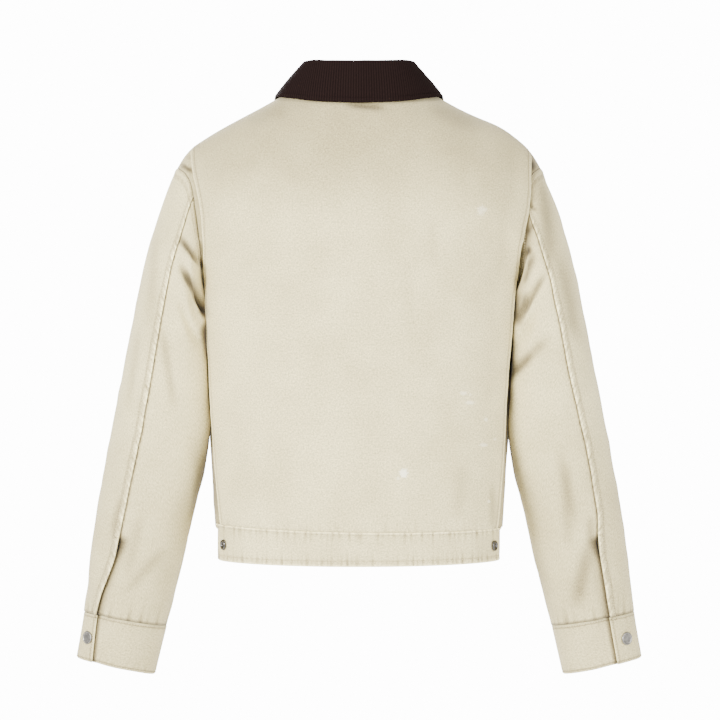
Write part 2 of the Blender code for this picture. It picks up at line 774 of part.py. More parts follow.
def fall_facing(turn, hand, step):
    """The fall's outward direction, from its own profile."""
    _, _, _, leave, _, away = fall_profile(turn, hand)
    if step == 0:
        return -away
    before = fall_point(turn, hand, max(step - 1, 1))
    after = fall_point(turn, hand, min(step + 1, 10))
    run = after - before
    beside = Vector((-away.y, away.x, 0))
    facing = beside.cross(run).normalized()
    outward = away * math.cos(leave) + Vector((0, 0, math.sin(leave)))
    if step > 4 and facing.dot(outward) < 0 or step == 1 and facing.dot(away) > 0:
        facing = -facing
    elif 1 < step <= 4 and facing.z < 0:
        facing = -facing
    return facing


# ---- snaps and zip


def turned(name, profile, place, facing, finish, segments=20):
    """A round piece: a profile of (radius, height) spun about its axis, set on a surface."""
    shape = bmesh.new()
    points = [shape.verts.new((radius, 0, height)) for radius, height in profile]
    for a, b in zip(points, points[1:]):
        shape.edges.new((a, b))
    bmesh.ops.spin(
        shape, geom=shape.verts[:] + shape.edges[:], axis=(0, 0, 1), cent=(0, 0, 0),
        steps=segments, angle=math.tau, use_merge=True,
    )  # fmt: skip
    bmesh.ops.remove_doubles(shape, verts=shape.verts[:], dist=1e-6)
    bmesh.ops.recalc_face_normals(shape, faces=shape.faces[:])
    if shape.calc_volume(signed=True) < 0:
        bmesh.ops.reverse_faces(shape, faces=shape.faces[:])
    made = add_object(name, shape, finish)
    made.location = place
    made.rotation_euler = facing.to_track_quat("Z", "Y").to_euler()
    return made


CAP_PROFILE = ((0.0, 0.0), (0.0070, 0.0), (0.0078, 0.0007), (0.0078, 0.0014), (0.0068, 0.0021),
               (0.0056, 0.0017), (0.0, 0.0017))  # fmt: skip
RING_PROFILE = ((0.0, 0.0), (0.0052, 0.0), (0.0063, 0.0009), (0.0060, 0.0020), (0.0048, 0.0026),
                (0.0036, 0.0020), (0.0031, 0.0008), (0.0, 0.0008))  # fmt: skip
SNAP_LIFT = 0.0004
CUFF_SNAPS = (("left", 1, 42.0), ("right", -1, 50.0))
CUFF_SNAP_ALONG = 0.5257
BAND_SNAPS = (("left", 1), ("right", -1))
BAND_SNAP_ACROSS = 0.1600
BAND_SNAP_V = -0.52


def make_snaps(cap_finish, ring_finish):
    for word, hand, turn in CUFF_SNAPS:
        facing = facing_out(CUFF_SNAP_ALONG, turn)
        place = ring(CUFF_SNAP_ALONG, turn) + facing * SNAP_LIFT
        place, facing = mirrored(place, hand), mirrored(facing, hand)
        turned(f"cuff_snap_{word}", CAP_PROFILE, place, facing, cap_finish)
    for word, hand in BAND_SNAPS:
        u = u_at(BAND_SNAP_ACROSS, 0.0)
        facing = torso_normal(1, u, BAND_SNAP_V)
        place = torso(1, u, BAND_SNAP_V) + facing * (2 * SNAP_LIFT + GAP)
        place, facing = mirrored(place, hand), mirrored(facing, hand)
        turned(f"band_snap_{word}", RING_PROFILE, place, facing, ring_finish)


TAPE_WIDTH = 0.0140
TAPE_DROP = 0.0030
ZIP_TOP_V = 0.985


def make_zip_tapes(finish):
    """Two tapes behind the fronts' edges, a gap apart at the centre."""
    rows = [-0.97, -0.5, 0.0] + [ZIP_TOP_V * k / 12 for k in range(1, 13)]
    for name, hand in (("zip_tape_left", 1), ("zip_tape_right", -1)):
        outer, inner = [], []
        for v in rows:
            facing = torso_normal(-1, 0.0, v)
            facing.x = 0.0
            facing.normalize()
            out_row, in_row = [], []
            for across in (GAP / 2, ZIP_HALF_GAP, TAPE_WIDTH):
                base = torso(-1, u_at(across, max(v, 0.0)), v)
                base.x = hand * across
                out_row.append(base - facing * TAPE_DROP)
                in_row.append(base - facing * (TAPE_DROP + TAPE))
            outer.append(out_row)
            inner.append(in_row)
        cloth_wall(name, outer, inner, finish)


SLIDER_V = 0.915
SLIDER = {"width": 0.0086, "length": 0.0120, "depth": 0.0034}
BRIDGE = {"width": 0.0024, "length": 0.0080, "depth": 0.0034}
BRIDGE_HOLE = {"width": 0.0060, "length": 0.0042, "depth": 0.0022}
BRIDGE_SINK = 0.0008  # how far the bridge runs into the slider
PULL = {"width": 0.0068, "length": 0.0260, "depth": 0.0012}
PULL_HOLE = {"width": 0.0034, "length": 0.0044, "depth": 0.0060}
PULL_RIM = 0.0006  # of the pull beyond its eye


def zip_frame():
    """The pull's pivot, the zip's upward direction and its outward direction there."""
    below, above = torso(-1, 0.0, SLIDER_V - 0.01), torso(-1, 0.0, SLIDER_V + 0.01)
    upward = Vector((0, above.y - below.y, above.z - below.z)).normalized()
    facing = Vector((0, -upward.z, upward.y))
    seat = torso(-1, 0.0, SLIDER_V) - facing * (TAPE_DROP - GAP)
    seat.x = 0.0
    pivot = seat + facing * (SLIDER["depth"] + BRIDGE_HOLE["depth"] / 2)
    return pivot, seat, upward, facing


def block(name, size, place, turn, finish=None, bevel=0.0):
    """A box of (across, along, deep), turned into the zip's frame."""
    shape = bmesh.new()
    bmesh.ops.create_cube(shape, size=1.0)
    bmesh.ops.scale(shape, vec=Vector(size), verts=shape.verts[:])
    if bevel:
        bmesh.ops.bevel(
            shape, geom=shape.edges[:], offset=bevel, segments=2, profile=0.5,
            affect="EDGES", material=-1,
        )  # fmt: skip
    made = add_object(name, shape, finish or material("nickel", 0.35, 1.0))
    made.matrix_world = Matrix.Translation(place) @ turn
    return made


def cut_or_join(target, tool, operation):
    step = target.modifiers.new(tool.name, "BOOLEAN")
    step.operation = operation
    step.object = tool
    step.solver = "EXACT"
    tool.hide_render = True
    tool.display_type = "WIRE"


def make_zip_pull(finish):
    """Slider with its bridge, and the pull that swings on the bar below the bridge."""
    pivot, seat, upward, facing = zip_frame()
    turn = Matrix((Vector((1, 0, 0)), upward, facing)).transposed().to_4x4()
    if turn.determinant() < 0:
        turn = Matrix((Vector((-1, 0, 0)), upward, facing)).transposed().to_4x4()
    size = (SLIDER["width"], SLIDER["length"], SLIDER["depth"])
    slider = block("zip_slider", size, seat + facing * SLIDER["depth"] / 2, turn, finish, 0.0006)
    tall = BRIDGE["depth"] + BRIDGE_SINK
    middle = seat + facing * (SLIDER["depth"] - BRIDGE_SINK + tall / 2)
    bridge = block("bridge_shape", (BRIDGE["width"], BRIDGE["length"], tall), middle, turn, None, 0.0005)
    size = (BRIDGE_HOLE["width"], BRIDGE_HOLE["length"], BRIDGE_HOLE["depth"])
    hole = block("bridge_hole", size, pivot, turn)
    cut_or_join(slider, bridge, "UNION")
    cut_or_join(slider, hole, "DIFFERENCE")

    middle = pivot + upward * (PULL_RIM - PULL["length"] / 2)
    size = (PULL["width"], PULL["length"], PULL["depth"])
    swing = bpy.data.objects.new("pull_pivot", None)
    swing.location = pivot
    bpy.context.scene.collection.objects.link(swing)
    pull = block("zip_pull", size, middle - pivot, turn, finish, 0.0003)
    pull.parent = swing
    eye_middle = pivot - upward * (PULL_RIM + PULL_HOLE["length"] / 2)
    size = (PULL_HOLE["width"], PULL_HOLE["length"], PULL_HOLE["depth"])
    eye = block("pull_eye", size, eye_middle, turn)
    cut_or_join(pull, eye, "DIFFERENCE")


def main():
    for old in list(bpy.data.objects):
        bpy.data.objects.remove(old)
    canvas = material("canvas")
    corduroy = material("corduroy")
    nickel = material("nickel", 0.35, 1.0)
    dark_nickel = material("dark_nickel", 0.30, 1.0)
    make_back(canvas)
    make_waistband(canvas)
    for word, hand in (("left", 1), ("right", -1)):
        make_back_side(f"back_side_{word}", hand, canvas)
        make_front(f"front_{word}", hand, canvas)
        make_sleeve(hand, word, canvas)
        make_cuff(hand, word, canvas)
    make_collar(corduroy)
    make_snaps(nickel, dark_nickel)
    make_zip_tapes(material("zip_tape"))
    make_zip_pull(dark_nickel)


main()
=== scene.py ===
"""A cropped canvas jacket with a corduroy collar, filled out as when worn and seen from behind.

Metres, +Z up. The fronts face -Y, and +X is the wearer's left. Every cloth piece is drawn on the
same surfaces as its solid, with its folds, puckers, seams and stitches added.
"""

import math

import bmesh
import bpy
import numpy as np
from mathutils import Matrix, Vector


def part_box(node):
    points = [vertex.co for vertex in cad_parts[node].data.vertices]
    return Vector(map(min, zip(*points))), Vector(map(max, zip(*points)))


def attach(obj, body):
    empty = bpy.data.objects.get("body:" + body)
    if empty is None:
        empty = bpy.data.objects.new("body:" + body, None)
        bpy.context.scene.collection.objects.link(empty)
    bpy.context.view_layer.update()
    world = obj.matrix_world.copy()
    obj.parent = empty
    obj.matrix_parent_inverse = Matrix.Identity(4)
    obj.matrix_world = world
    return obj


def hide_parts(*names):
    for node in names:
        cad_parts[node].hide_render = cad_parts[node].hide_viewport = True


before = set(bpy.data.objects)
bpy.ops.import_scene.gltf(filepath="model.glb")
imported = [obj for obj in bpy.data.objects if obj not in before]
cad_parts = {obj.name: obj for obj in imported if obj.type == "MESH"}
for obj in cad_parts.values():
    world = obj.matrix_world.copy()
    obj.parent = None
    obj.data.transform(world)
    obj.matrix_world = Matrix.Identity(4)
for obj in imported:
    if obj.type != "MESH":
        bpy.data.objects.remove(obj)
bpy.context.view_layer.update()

bl_info = {
    "name": "Canvas jacket",
    "version": (1, 0, 0),
    "blender": (4, 5, 0),
    "location": "3D View > Sidebar > Jacket",
    "description": "Dresses the solids of a cropped canvas jacket with a corduroy collar",
    "category": "Object",
}

# ---- cloth, in metres
CANVAS = 0.0016
BAND = 0.0026
CORDUROY = 0.0026
STAND = 0.0022
TAPE = 0.0010
GAP = 0.0003
EDGE_ROUNDING = 0.46

# ---- body
BAND_TOP = -0.5088
BAND_HEIGHT = 0.0390
BAND_DIP = 0.0035
SHOULDER_POINT = -0.0850
UNDERARM = -0.2350
NECK_HALF_WIDTH = 0.0780
NECK_BACK = -0.0020
NECK_FRONT = -0.0550
SECTION_POWER = 2.5
SHOULDER_ROUND = 0.1100
SHOULDER_POWER = 2.2
ARMHOLE_TUCK = 0.0700
ARMHOLE_RISE = 0.0600
SHOULDER_FADE = 0.012
SEAM_SAG = {"middle": -0.0030, "tilt": 0.0139, "bow": 0.169, "reach": 0.018}
SHOULDER = {"across": -0.172, "height": -0.036, "reach": 0.032, "rise": 0.0045}
ZIP_HALF_GAP = 0.0065

# ---- back pleats
PLEAT_DEPTH = 0.0200
FOLD_BLEND = 0.0450
OPEN_FOLD_BLEND = 0.0360
FOLD_DOUBLE = 0.0140
DOUBLED = 0.0033
BACKING_DROP = 0.0027

# ---- sleeve
ARM_POWER = 2.15
BESIDE_POWER = 1.20
SLIT_TOP = 0.3940
CUFF_TOP = 0.4975
CUFF_END = 0.5530
FRONT_SEAM = 225.0
BLEND_END = 0.0900
CUFF_LAP = 32.0
SLIT_DROP = 0.0024
SLIT_LAP = 6.0
SLEEVE_ROLL = {1: 0.0068, -1: 0.0056}

# ---- collar
STAND_RISE = 0.0006
STAND_SIDE_RISE = 0.0030
FALL_LIFT = 0.0014
FALL_BOW = 0.0010
FALL_WALE_ROW = 27
WALE_MEAN = 0.6
NECK_TURNS = (0.0, 15.0, 30.0, 45.0, 60.0, 75.0, 90.0)
FRONT_END = 180.0 - math.degrees(math.asin(ZIP_HALF_GAP / NECK_HALF_WIDTH))
COLLAR_TURNS = NECK_TURNS + (105.0, 120.0, 135.0, 150.0, 165.0, FRONT_END)

# ---- the photograph's frame: metres to a pixel at the jacket's middle plane
PIXEL = 0.00118
MILLIMETRE = 0.001
# painted shade in a crease, for each millimetre of its depth
CREASE_PAINTED_SHADE = 0.14
VIEW_X = -0.0012
VIEW_Z = -0.3130
VIEW_DISTANCE = 4.5
ORIGIN_ACROSS = 359.0
ORIGIN_DOWN = 95.0

# ---- how far rows of stitches lie from their edges
FOLD_STITCH = 0.0062
FRONT_STITCH = 0.0060
BAND_STITCH = 0.0024
BAND_LOW_STITCH = 0.0060
SEAM_STITCH = 0.0017
SEAM_OUTER_STITCH = 0.0072
ARMHOLE_STITCH = 0.0020
ARMHOLE_OUTER_STITCH = 0.0080
CUFF_STITCH = 0.0028
COLLAR_STITCH = 0.0062

# ---- how finely each piece is drawn: rows, and columns across them
BACK_GRID = ((138, 46), 232)
BACK_SIDE_GRID = ((90, 30), 40)
FRONT_GRID = ((84, 28), 96)
BAND_ROWS = 34
BAND_COLUMNS = {"waistband_back": 330, "waistband_left": 130, "waistband_right": 130}
SLEEVE_ROWS = 186
SLEEVE_COLUMNS = {"upper": 92, "under": 80}
CUFF_GRID = (40, 280)
FALL_GRID = (38, 880)
STAND_GRID = (12, 480)
TAPE_GRID = ((20, 140), 18)


def ease(value):
    value = np.clip(value, 0.0, 1.0)
    return value * value * (3 - 2 * value)


def signed_power(value, power):
    return np.sign(value) * np.abs(value) ** power


def near(distance, at, width):
    """1 at one distance, and falling off softly on both sides of it."""
    return np.exp(-(((distance - at) / width) ** 2))


def fading(distance, at, reach):
    """1 at one distance, and falling off at once on both sides of it."""
    return np.exp(-np.abs(distance - at) / reach)


class Table:
    """Rows of named columns, read on a smooth curve through the rows."""

    SAMPLES = 4001

    def __init__(self, columns, *rows):
        self.columns = columns
        self.rows = sorted(rows)
        self.drawn = {}

    def read(self, at, name):
        if name not in self.drawn:
            column = self.columns.index(name)
            points = [(row[0], row[column]) for row in self.rows]
            spread = np.linspace(points[0][0], points[-1][0], self.SAMPLES)
            self.drawn[name] = (spread, np.array([self.between(points, x) for x in spread]))
        spread, drawn = self.drawn[name]
        return np.interp(at, spread, drawn)

    def between(self, points, at):
        last = len(points) - 2
        k = next((i for i in range(last + 1) if at <= points[i + 1][0]), last)
        (x0, y0), (x1, y1) = points[k], points[k + 1]
        step = (y1 - y0) / (x1 - x0)
        before, after = self.slope(points, k - 1, step), self.slope(points, k + 1, step)
        m0, m1 = (self.tangent(a, b) for a, b in ((before, step), (step, after)))
        t, width = (at - x0) / (x1 - x0), x1 - x0
        return (
            (1 + 2 * t) * (1 - t) ** 2 * y0
            + t * (1 - t) ** 2 * width * m0
            + t * t * (3 - 2 * t) * y1
            + t * t * (t - 1) * width * m1
        )

    @staticmethod
    def slope(points, k, otherwise):
        if k < 0 or k + 1 >= len(points):
            return otherwise
        return (points[k + 1][1] - points[k][1]) / (points[k + 1][0] - points[k][0])

    @staticmethod
    def tangent(before, after):
        return 2 * before * after / (before + after) if before * after > 0 else 0.0

    def named(self):
        return [dict(zip(self.columns, row)) for row in self.rows]


RIDGE = Table(
    ("across", "height"),
    (0.0000, 0.0260),
    (0.0400, 0.0195),
    (0.0780, 0.0045),
    (0.1168, -0.0165),
    (0.1404, -0.0290),
    (0.1630, -0.0413),
    (0.1807, -0.0520),
    (0.1950, -0.0617),
    (0.2040, -0.0710),
    (0.2130, -0.0850),
    (0.2300, -0.1200),
)

BODY = Table(
    ("height", "edge", "back", "front"),
    (-0.5500, 0.1660, 0.1120, 0.1150),
    (-0.5088, 0.1695, 0.1140, 0.1170),
    (-0.4340, 0.1740, 0.1180, 0.1210),
    (-0.3600, 0.1787, 0.1210, 0.1240),
    (-0.3000, 0.1822, 0.1220, 0.1250),
    (-0.2600, 0.1843, 0.1220, 0.1240),
    (-0.2350, 0.1838, 0.1215, 0.1220),
    (-0.2000, 0.1840, 0.1205, 0.1190),
    (-0.1700, 0.1865, 0.1190, 0.1140),
    (-0.1345, 0.1910, 0.1160, 0.1060),
    (-0.1060, 0.1965, 0.1120, 0.0990),
    (-0.0940, 0.2035, 0.1100, 0.0960),
    (-0.0850, 0.2130, 0.1080, 0.0930),
    (0.0300, 0.2130, 0.0960, 0.0700),
)

# The pleats' folded edges. flare and lift are for the wearer's right, whose fold stands open.
FOLD = Table(
    ("height", "across", "flare", "lift", "lift_left"),
    (-0.5100, 0.1610, 0.0000, 0.0016, 0.0016),
    (-0.4340, 0.1680, -0.0006, 0.0022, 0.0018),
    (-0.3360, 0.1740, -0.0024, 0.0034, 0.0022),
    (-0.2620, 0.1785, -0.0026, 0.0058, 0.0024),
    (-0.2000, 0.1800, 0.0012, 0.0066, 0.0022),
    (-0.1475, 0.1820, 0.0062, 0.0062, 0.0020),
    (-0.1170, 0.1860, 0.0082, 0.0054, 0.0020),
    (-0.0930, 0.1910, 0.0070, 0.0040, 0.0020),
    (-0.0770, 0.1950, 0.0052, 0.0026, 0.0018),
    (-0.0650, 0.1980, 0.0040, 0.0016, 0.0014),
)

SLEEVE = Table(
    ("along", "outer_x", "outer_z", "inner_x", "inner_z", "middle_y", "half_depth",
     "seam_left", "seam_right"),
    (0.0000, 0.2130, -0.0850, 0.1830, -0.2350, 0.0000, 0.0500, 60.0, 60.0),
    (0.0060, 0.2165, -0.0905, 0.1839, -0.2325, 0.0000, 0.0535, 62.0, 62.0),
    (0.0130, 0.2205, -0.0995, 0.1838, -0.2345, 0.0000, 0.0570, 64.0, 64.0),
    (0.0250, 0.2270, -0.1165, 0.1836, -0.2425, 0.0000, 0.0620, 68.0, 68.0),
    (0.0500, 0.2385, -0.1490, 0.1835, -0.2580, -0.0010, 0.0690, 75.0, 75.0),
    (0.0900, 0.2527, -0.1979, 0.1828, -0.2840, -0.0030, 0.0745, 81.0, 79.0),
    (0.1400, 0.2644, -0.2524, 0.1810, -0.3195, -0.0060, 0.0755, 78.0, 74.5),
    (0.1900, 0.2750, -0.3065, 0.1786, -0.3581, -0.0090, 0.0735, 75.0, 71.0),
    (0.2400, 0.2856, -0.3586, 0.1766, -0.3962, -0.0120, 0.0700, 72.5, 66.0),
    (0.3000, 0.2973, -0.4174, 0.1822, -0.4415, -0.0160, 0.0660, 71.0, 63.0),
    (0.3600, 0.3084, -0.4778, 0.1959, -0.4948, -0.0210, 0.0610, 70.0, 64.5),
    (0.4200, 0.3179, -0.5368, 0.2085, -0.5504, -0.0270, 0.0550, 68.0, 71.0),
    (0.4975, 0.3271, -0.6108, 0.2286, -0.6279, -0.0350, 0.0475, 52.0, 71.0),
    (0.5530, 0.3368, -0.6658, 0.2430, -0.6863, -0.0400, 0.0420, 58.0, 72.0),
)

# Soft folds of the sleeves: where along and round, how long and wide, how deep, and their slant.
ARM_FOLDS = Table(
    ("along", "turn", "half_length", "half_width", "depth", "slant"),
    (0.060, 112.0, 0.040, 0.0110, 0.0060, 62.0),
    (0.100, 118.0, 0.045, 0.0120, 0.0055, 58.0),
    (0.075, 240.0, 0.045, 0.0120, 0.0050, -60.0),
    (0.115, 246.0, 0.045, 0.0120, 0.0045, -56.0),
    (0.250, 214.0, 0.050, 0.0140, 0.0030, 40.0),
    (0.310, 218.0, 0.050, 0.0140, 0.0030, -36.0),
)

COLLAR = Table(
    ("turn", "inward", "rise", "roll", "edge_x", "edge_z"),
    (0.0, 0.0060, 0.0314, 0.0046, 0.0000, -0.0172),
    (30.0, 0.0065, 0.0313, 0.0046, 0.0430, -0.0155),
    (45.0, 0.0085, 0.0314, 0.0046, 0.0610, -0.0136),
    (60.0, 0.0115, 0.0298, 0.0046, 0.0770, -0.0108),
    (90.0, 0.0180, 0.0256, 0.0046, 0.1003, -0.0078),
    (115.0, 0.0135, 0.0260, 0.0044, 0.0985, -0.0280),
    (140.0, 0.0080, 0.0220, 0.0042, 0.0850, -0.0620),
    (160.0, 0.0050, 0.0180, 0.0040, 0.0640, -0.0920),
    (175.3, 0.0030, 0.0150, 0.0038, 0.0430, -0.1180),
)

# Creases seen from behind, each a straight run between two points of the photograph's frame, in pixels. depth
# is in millimetres, and less than nothing is a raised ridge. A crease is also painted darker the deeper it
# is, as painted shade.
CREASES = Table(
    ("x0", "y0", "x1", "y1", "half_width", "depth"),
    # wearer's left shoulder and underarm
    (180.0, 163.0, 191.5, 171.4, 2.6, 3.2),
    (178.0, 159.0, 190.0, 167.0, 3.0, -1.4),
    (187.5, 154.0, 188.6, 158.6, 2.2, 1.2),
    (195.0, 147.0, 200.0, 146.0, 2.4, 1.0),
    (181.0, 240.0, 203.0, 268.0, 3.2, 4.4),
    (179.0, 247.0, 198.0, 271.0, 5.0, -1.8),
    (183.0, 271.0, 205.0, 312.0, 3.8, 4.8),
    (194.0, 297.0, 205.5, 311.0, 3.2, 2.6),
    (176.0, 268.0, 197.0, 312.0, 6.0, -1.6),
    # wearer's right sleeve
    (542.6, 279.0, 523.5, 313.6, 4.0, 2.6),
    (530.0, 249.0, 519.8, 256.0, 3.6, 4.4),
    (548.0, 284.0, 529.0, 318.0, 6.0, -1.6),
    # beside the right fold, where the painted shade stands for the fold's shadow
    (527.0, 196.0, 538.0, 209.0, 1.6, 1.6),
    (526.0, 232.0, 534.0, 224.0, 3.0, 1.6),
    (533.0, 257.0, 524.0, 282.0, 3.4, 2.4),
    (527.0, 296.0, 517.0, 322.0, 4.2, 1.6),
    (530.0, 356.0, 514.0, 374.0, 3.8, 1.3),
    # upper and lower right of the back
    (432.0, 223.0, 436.0, 266.0, 6.0, 0.25),
    (407.0, 270.0, 409.0, 330.0, 6.0, 0.20),
    (462.0, 470.0, 458.0, 515.0, 7.0, 0.45),
    (492.0, 486.0, 492.0, 526.0, 3.0, 0.70),
    # under the collar, with painted shade for its shadow, and soft painted shade across the shoulders
    (350.0, 104.5, 382.0, 107.5, 3.2, 1.8),
    (250.0, 120.0, 285.0, 108.0, 8.0, 0.5),
    (432.0, 108.0, 478.0, 126.0, 8.0, 0.5),
    # soft folds of the sleeves
    (163.0, 335.0, 173.0, 400.0, 4.0, 0.9),
    (119.0, 500.0, 112.0, 535.0, 3.0, 0.9),
    (545.0, 342.0, 510.0, 374.0, 5.0, 1.2),
    (588.0, 552.0, 577.0, 602.0, 7.0, 1.5),
    (590.0, 520.0, 592.0, 548.0, 4.0, 0.9),
    (566.0, 470.0, 568.0, 540.0, 6.0, 0.8),
    (543.0, 178.0, 552.0, 262.0, 8.0, 1.4),
    (562.0, 262.0, 577.0, 335.0, 8.0, 1.2),
    (560.0, 455.0, 575.0, 520.0, 5.0, 0.6),
    (154.0, 200.0, 150.0, 330.0, 6.0, 0.5),
    (139.0, 330.0, 128.0, 400.0, 4.0, 0.5),
    (140.0, 520.0, 128.0, 570.0, 6.0, 0.6),
    (163.0, 552.0, 128.0, 590.0, 5.0, 0.7),
)


# ---- the body's surface, as in its solids


def edge_ratio(height):
    rise = np.clip((height - UNDERARM) / ARMHOLE_RISE, 0.0, 1.0)
    return 1 - ARMHOLE_TUCK * rise**1.25


def neck_height(across, side):
    level = np.sqrt(np.maximum(0.0, 1 - (across / NECK_HALF_WIDTH) ** 2))
    top = RIDGE.read(NECK_HALF_WIDTH, "height")
    return top - (top - (NECK_BACK if side > 0 else NECK_FRONT)) * level


def top_height(across, side):
    beyond = RIDGE.read(across, "height")
    return np.where(across >= NECK_HALF_WIDTH, beyond, neck_height(across, side))


def rounding(across, height):
    drop = (RIDGE.read(np.abs(across), "height") - height) / SHOULDER_ROUND
    full = 1 - np.abs(1 - np.clip(drop, 0.0, 1.0)) ** SHOULDER_POWER
    above = (1 - (1 - np.clip(-drop, 0.0, 1.0)) ** SHOULDER_POWER) ** (1 / SHOULDER_POWER)
    return np.where(drop < 0, -above, full ** (1 / SHOULDER_POWER))


def torso(side, u, v):
    """A point of the body. u is 1 at the wearer's left armhole or side seam and -1 at the right."""
    u, v = np.broadcast_arrays(np.asarray(u, float), np.asarray(v, float))
    edge_height = BAND_TOP + v * (SHOULDER_POINT - BAND_TOP)
    ratio = edge_ratio(edge_height)
    half_width = BODY.read(edge_height, "edge") / ratio
    turn = u * np.arcsin(np.clip(ratio ** (SECTION_POWER / 2), 0.0, 1.0))
    across = half_width * signed_power(np.sin(turn), 2 / SECTION_POWER)
    middle = np.clip(1 - (across / half_width) ** 2, 0.0, 1.0)
    low = BAND_TOP + v * (BAND_HEIGHT + BAND_DIP * middle)
    top_width = BODY.read(SHOULDER_POINT, "edge") / edge_ratio(SHOULDER_POINT)
    end_turn = u * np.arcsin(edge_ratio(SHOULDER_POINT) ** (SECTION_POWER / 2))
    end = top_width * np.abs(np.sin(end_turn)) ** (2 / SECTION_POWER)
    high = BAND_TOP + v * (top_height(end, side) - BAND_TOP)
    height = np.where(v <= 0, low, high)
    depth = BODY.read(height, "back" if side > 0 else "front")
    depth = depth * signed_power(np.cos(turn), 2 / SECTION_POWER) * rounding(across, height)
    points = np.stack([across, side * (depth + GAP / 2), height], axis=-1)
    # the wearer's right shoulder stands a little higher
    away = (across - SHOULDER["across"]) ** 2 + (height - SHOULDER["height"]) ** 2
    risen = SHOULDER["rise"] * np.exp(-away / SHOULDER["reach"] ** 2)
    points = points + risen[..., None] * np.array([-0.4, 0.0, 0.9])
    if side > 0:
        # the waistband's seam sags between the folds
        sag = SEAM_SAG["middle"] + SEAM_SAG["tilt"] * across + SEAM_SAG["bow"] * across**2
        points[..., 2] += sag * near(height, BAND_TOP, SEAM_SAG["reach"]) * ease((1 - np.abs(u)) / 0.08)
    return points


def surface_y(side, across, height):
    level = min(max(height, BAND_TOP), 0.02)
    half_width = BODY.read(level, "edge") / edge_ratio(min(level, SHOULDER_POINT))
    share = 1 - min(1.0, abs(across) / half_width) ** SECTION_POWER
    depth = BODY.read(level, "back" if side > 0 else "front") * share ** (1 / SECTION_POWER)
    return side * depth * max(0.0, float(rounding(across, height)))


def u_at(across, v):
    edge_height = BAND_TOP + v * (SHOULDER_POINT - BAND_TOP)
    ratio = edge_ratio(edge_height)
    half_width = BODY.read(edge_height, "edge") / ratio
    turn = np.arcsin(np.clip(across / half_width, 0.0, 1.0) ** (SECTION_POWER / 2))
    return turn / np.arcsin(np.clip(ratio ** (SECTION_POWER / 2), 0.0, 1.0))


def fold_height(v):
    return BAND_TOP + v * (RIDGE.read(0.198, "height") - BAND_TOP)


def fold_u(v, hand, inward=0.0):
    height = fold_height(v)
    flare = FOLD.read(height, "flare") if hand < 0 else 0.0
    return u_at(FOLD.read(height, "across") + flare - inward, v)


# ---- the sleeve's surface


def ring(along, turn):
    """A point of the plain sleeve: turn is in degrees, 0 outside, 90 behind, 180 inside."""
    along, turn = np.broadcast_arrays(np.asarray(along, float), np.asarray(turn, float))
    zero = np.zeros_like(along)
    ends = [
        np.stack([SLEEVE.read(along, f"{end}_x"), zero, SLEEVE.read(along, f"{end}_z")], axis=-1)
        for end in ("outer", "inner")
    ]
    # the section is squarer where the sleeve lies beside the body
    squarer = ((turn > 90) & (turn < 180)) * ease((along - 0.02) / 0.05) * ease((0.38 - along) / 0.12)
    power = ARM_POWER + BESIDE_POWER * squarer
    across = signed_power(np.cos(np.radians(turn)), 2 / power)[..., None]
    behind = signed_power(np.sin(np.radians(turn)), 2 / power)
    point = (ends[0] + ends[1]) / 2 + (ends[0] - ends[1]) / 2 * across
    point[..., 1] = SLEEVE.read(along, "middle_y") + SLEEVE.read(along, "half_depth") * behind
    return point


def armhole(turn):
    middle, half = (SHOULDER_POINT + UNDERARM) / 2, (SHOULDER_POINT - UNDERARM) / 2
    height = middle + half * np.cos(np.radians(turn))
    v = (height - BAND_TOP) / (SHOULDER_POINT - BAND_TOP)
    behind = (np.sin(np.radians(turn)) >= 0)[..., None]
    return np.where(behind, torso(1, 1.0, v), torso(-1, 1.0, v))


def ring_by_height(turn):
    outer = np.array([SLEEVE.read(0.0, "outer_x"), 0.0, SHOULDER_POINT])
    inner = np.array([SLEEVE.read(0.0, "inner_x"), 0.0, UNDERARM])
    across = signed_power(np.cos(np.radians(turn)), 2 / ARM_POWER)[..., None]
    point = (outer + inner) / 2 + (outer - inner) / 2 * across
    behind = signed_power(np.sin(np.radians(turn)), 2 / ARM_POWER)
    point[..., 1] = SLEEVE.read(0.0, "half_depth") * behind
    return point


def fold_shift(along, turn):
    depth = 0.0
    for fold in ARM_FOLDS.named():
        slant = math.radians(fold["slant"])
        run = along - fold["along"]
        radius = SLEEVE.read(fold["along"], "half_depth")
        side = radius * np.radians((turn - fold["turn"] + 180) % 360 - 180)
        length = run * math.cos(slant) + side * math.sin(slant)
        width = side * math.cos(slant) - run * math.sin(slant)
        reach = np.clip(1 - (length / fold["half_length"]) ** 2, 0.0, 1.0)
        depth = depth + fold["depth"] * reach * near(width, 0.0, fold["half_width"])
    inward = (ring(along, 0.0) + ring(along, 180.0)) / 2 - ring(along, turn)
    inward /= np.linalg.norm(inward, axis=-1, keepdims=True)
    depth = depth * ease(along / 0.03) * (1 - ease((along - 0.46) / 0.03))
    return inward * depth[..., None]


def sleeve(along, turn):
    along, turn = np.broadcast_arrays(np.asarray(along, float), np.asarray(turn, float))
    share = (1 - ease(along / BLEND_END))[..., None]
    point = ring(along, turn) + (armhole(turn) - ring_by_height(turn)) * share
    return point + fold_shift(along, turn)


# ---- shared shaping


def facings(points, outward=1.0):
    """The normals of a grid of points, its rows running up or along and its columns across."""
    along, across = np.gradient(points, axis=0), np.gradient(points, axis=1)
    facing = np.cross(across, along) * outward
    return facing / np.maximum(np.linalg.norm(facing, axis=-1, keepdims=True), 1e-12)


def travelled(points, axis):
    """The length run so far along one axis of a grid of points."""
    steps = np.linalg.norm(np.diff(points, axis=axis), axis=-1)
    start = np.zeros_like(np.take(steps, [0], axis=axis))
    return np.concatenate([start, np.cumsum(steps, axis=axis)], axis=axis)


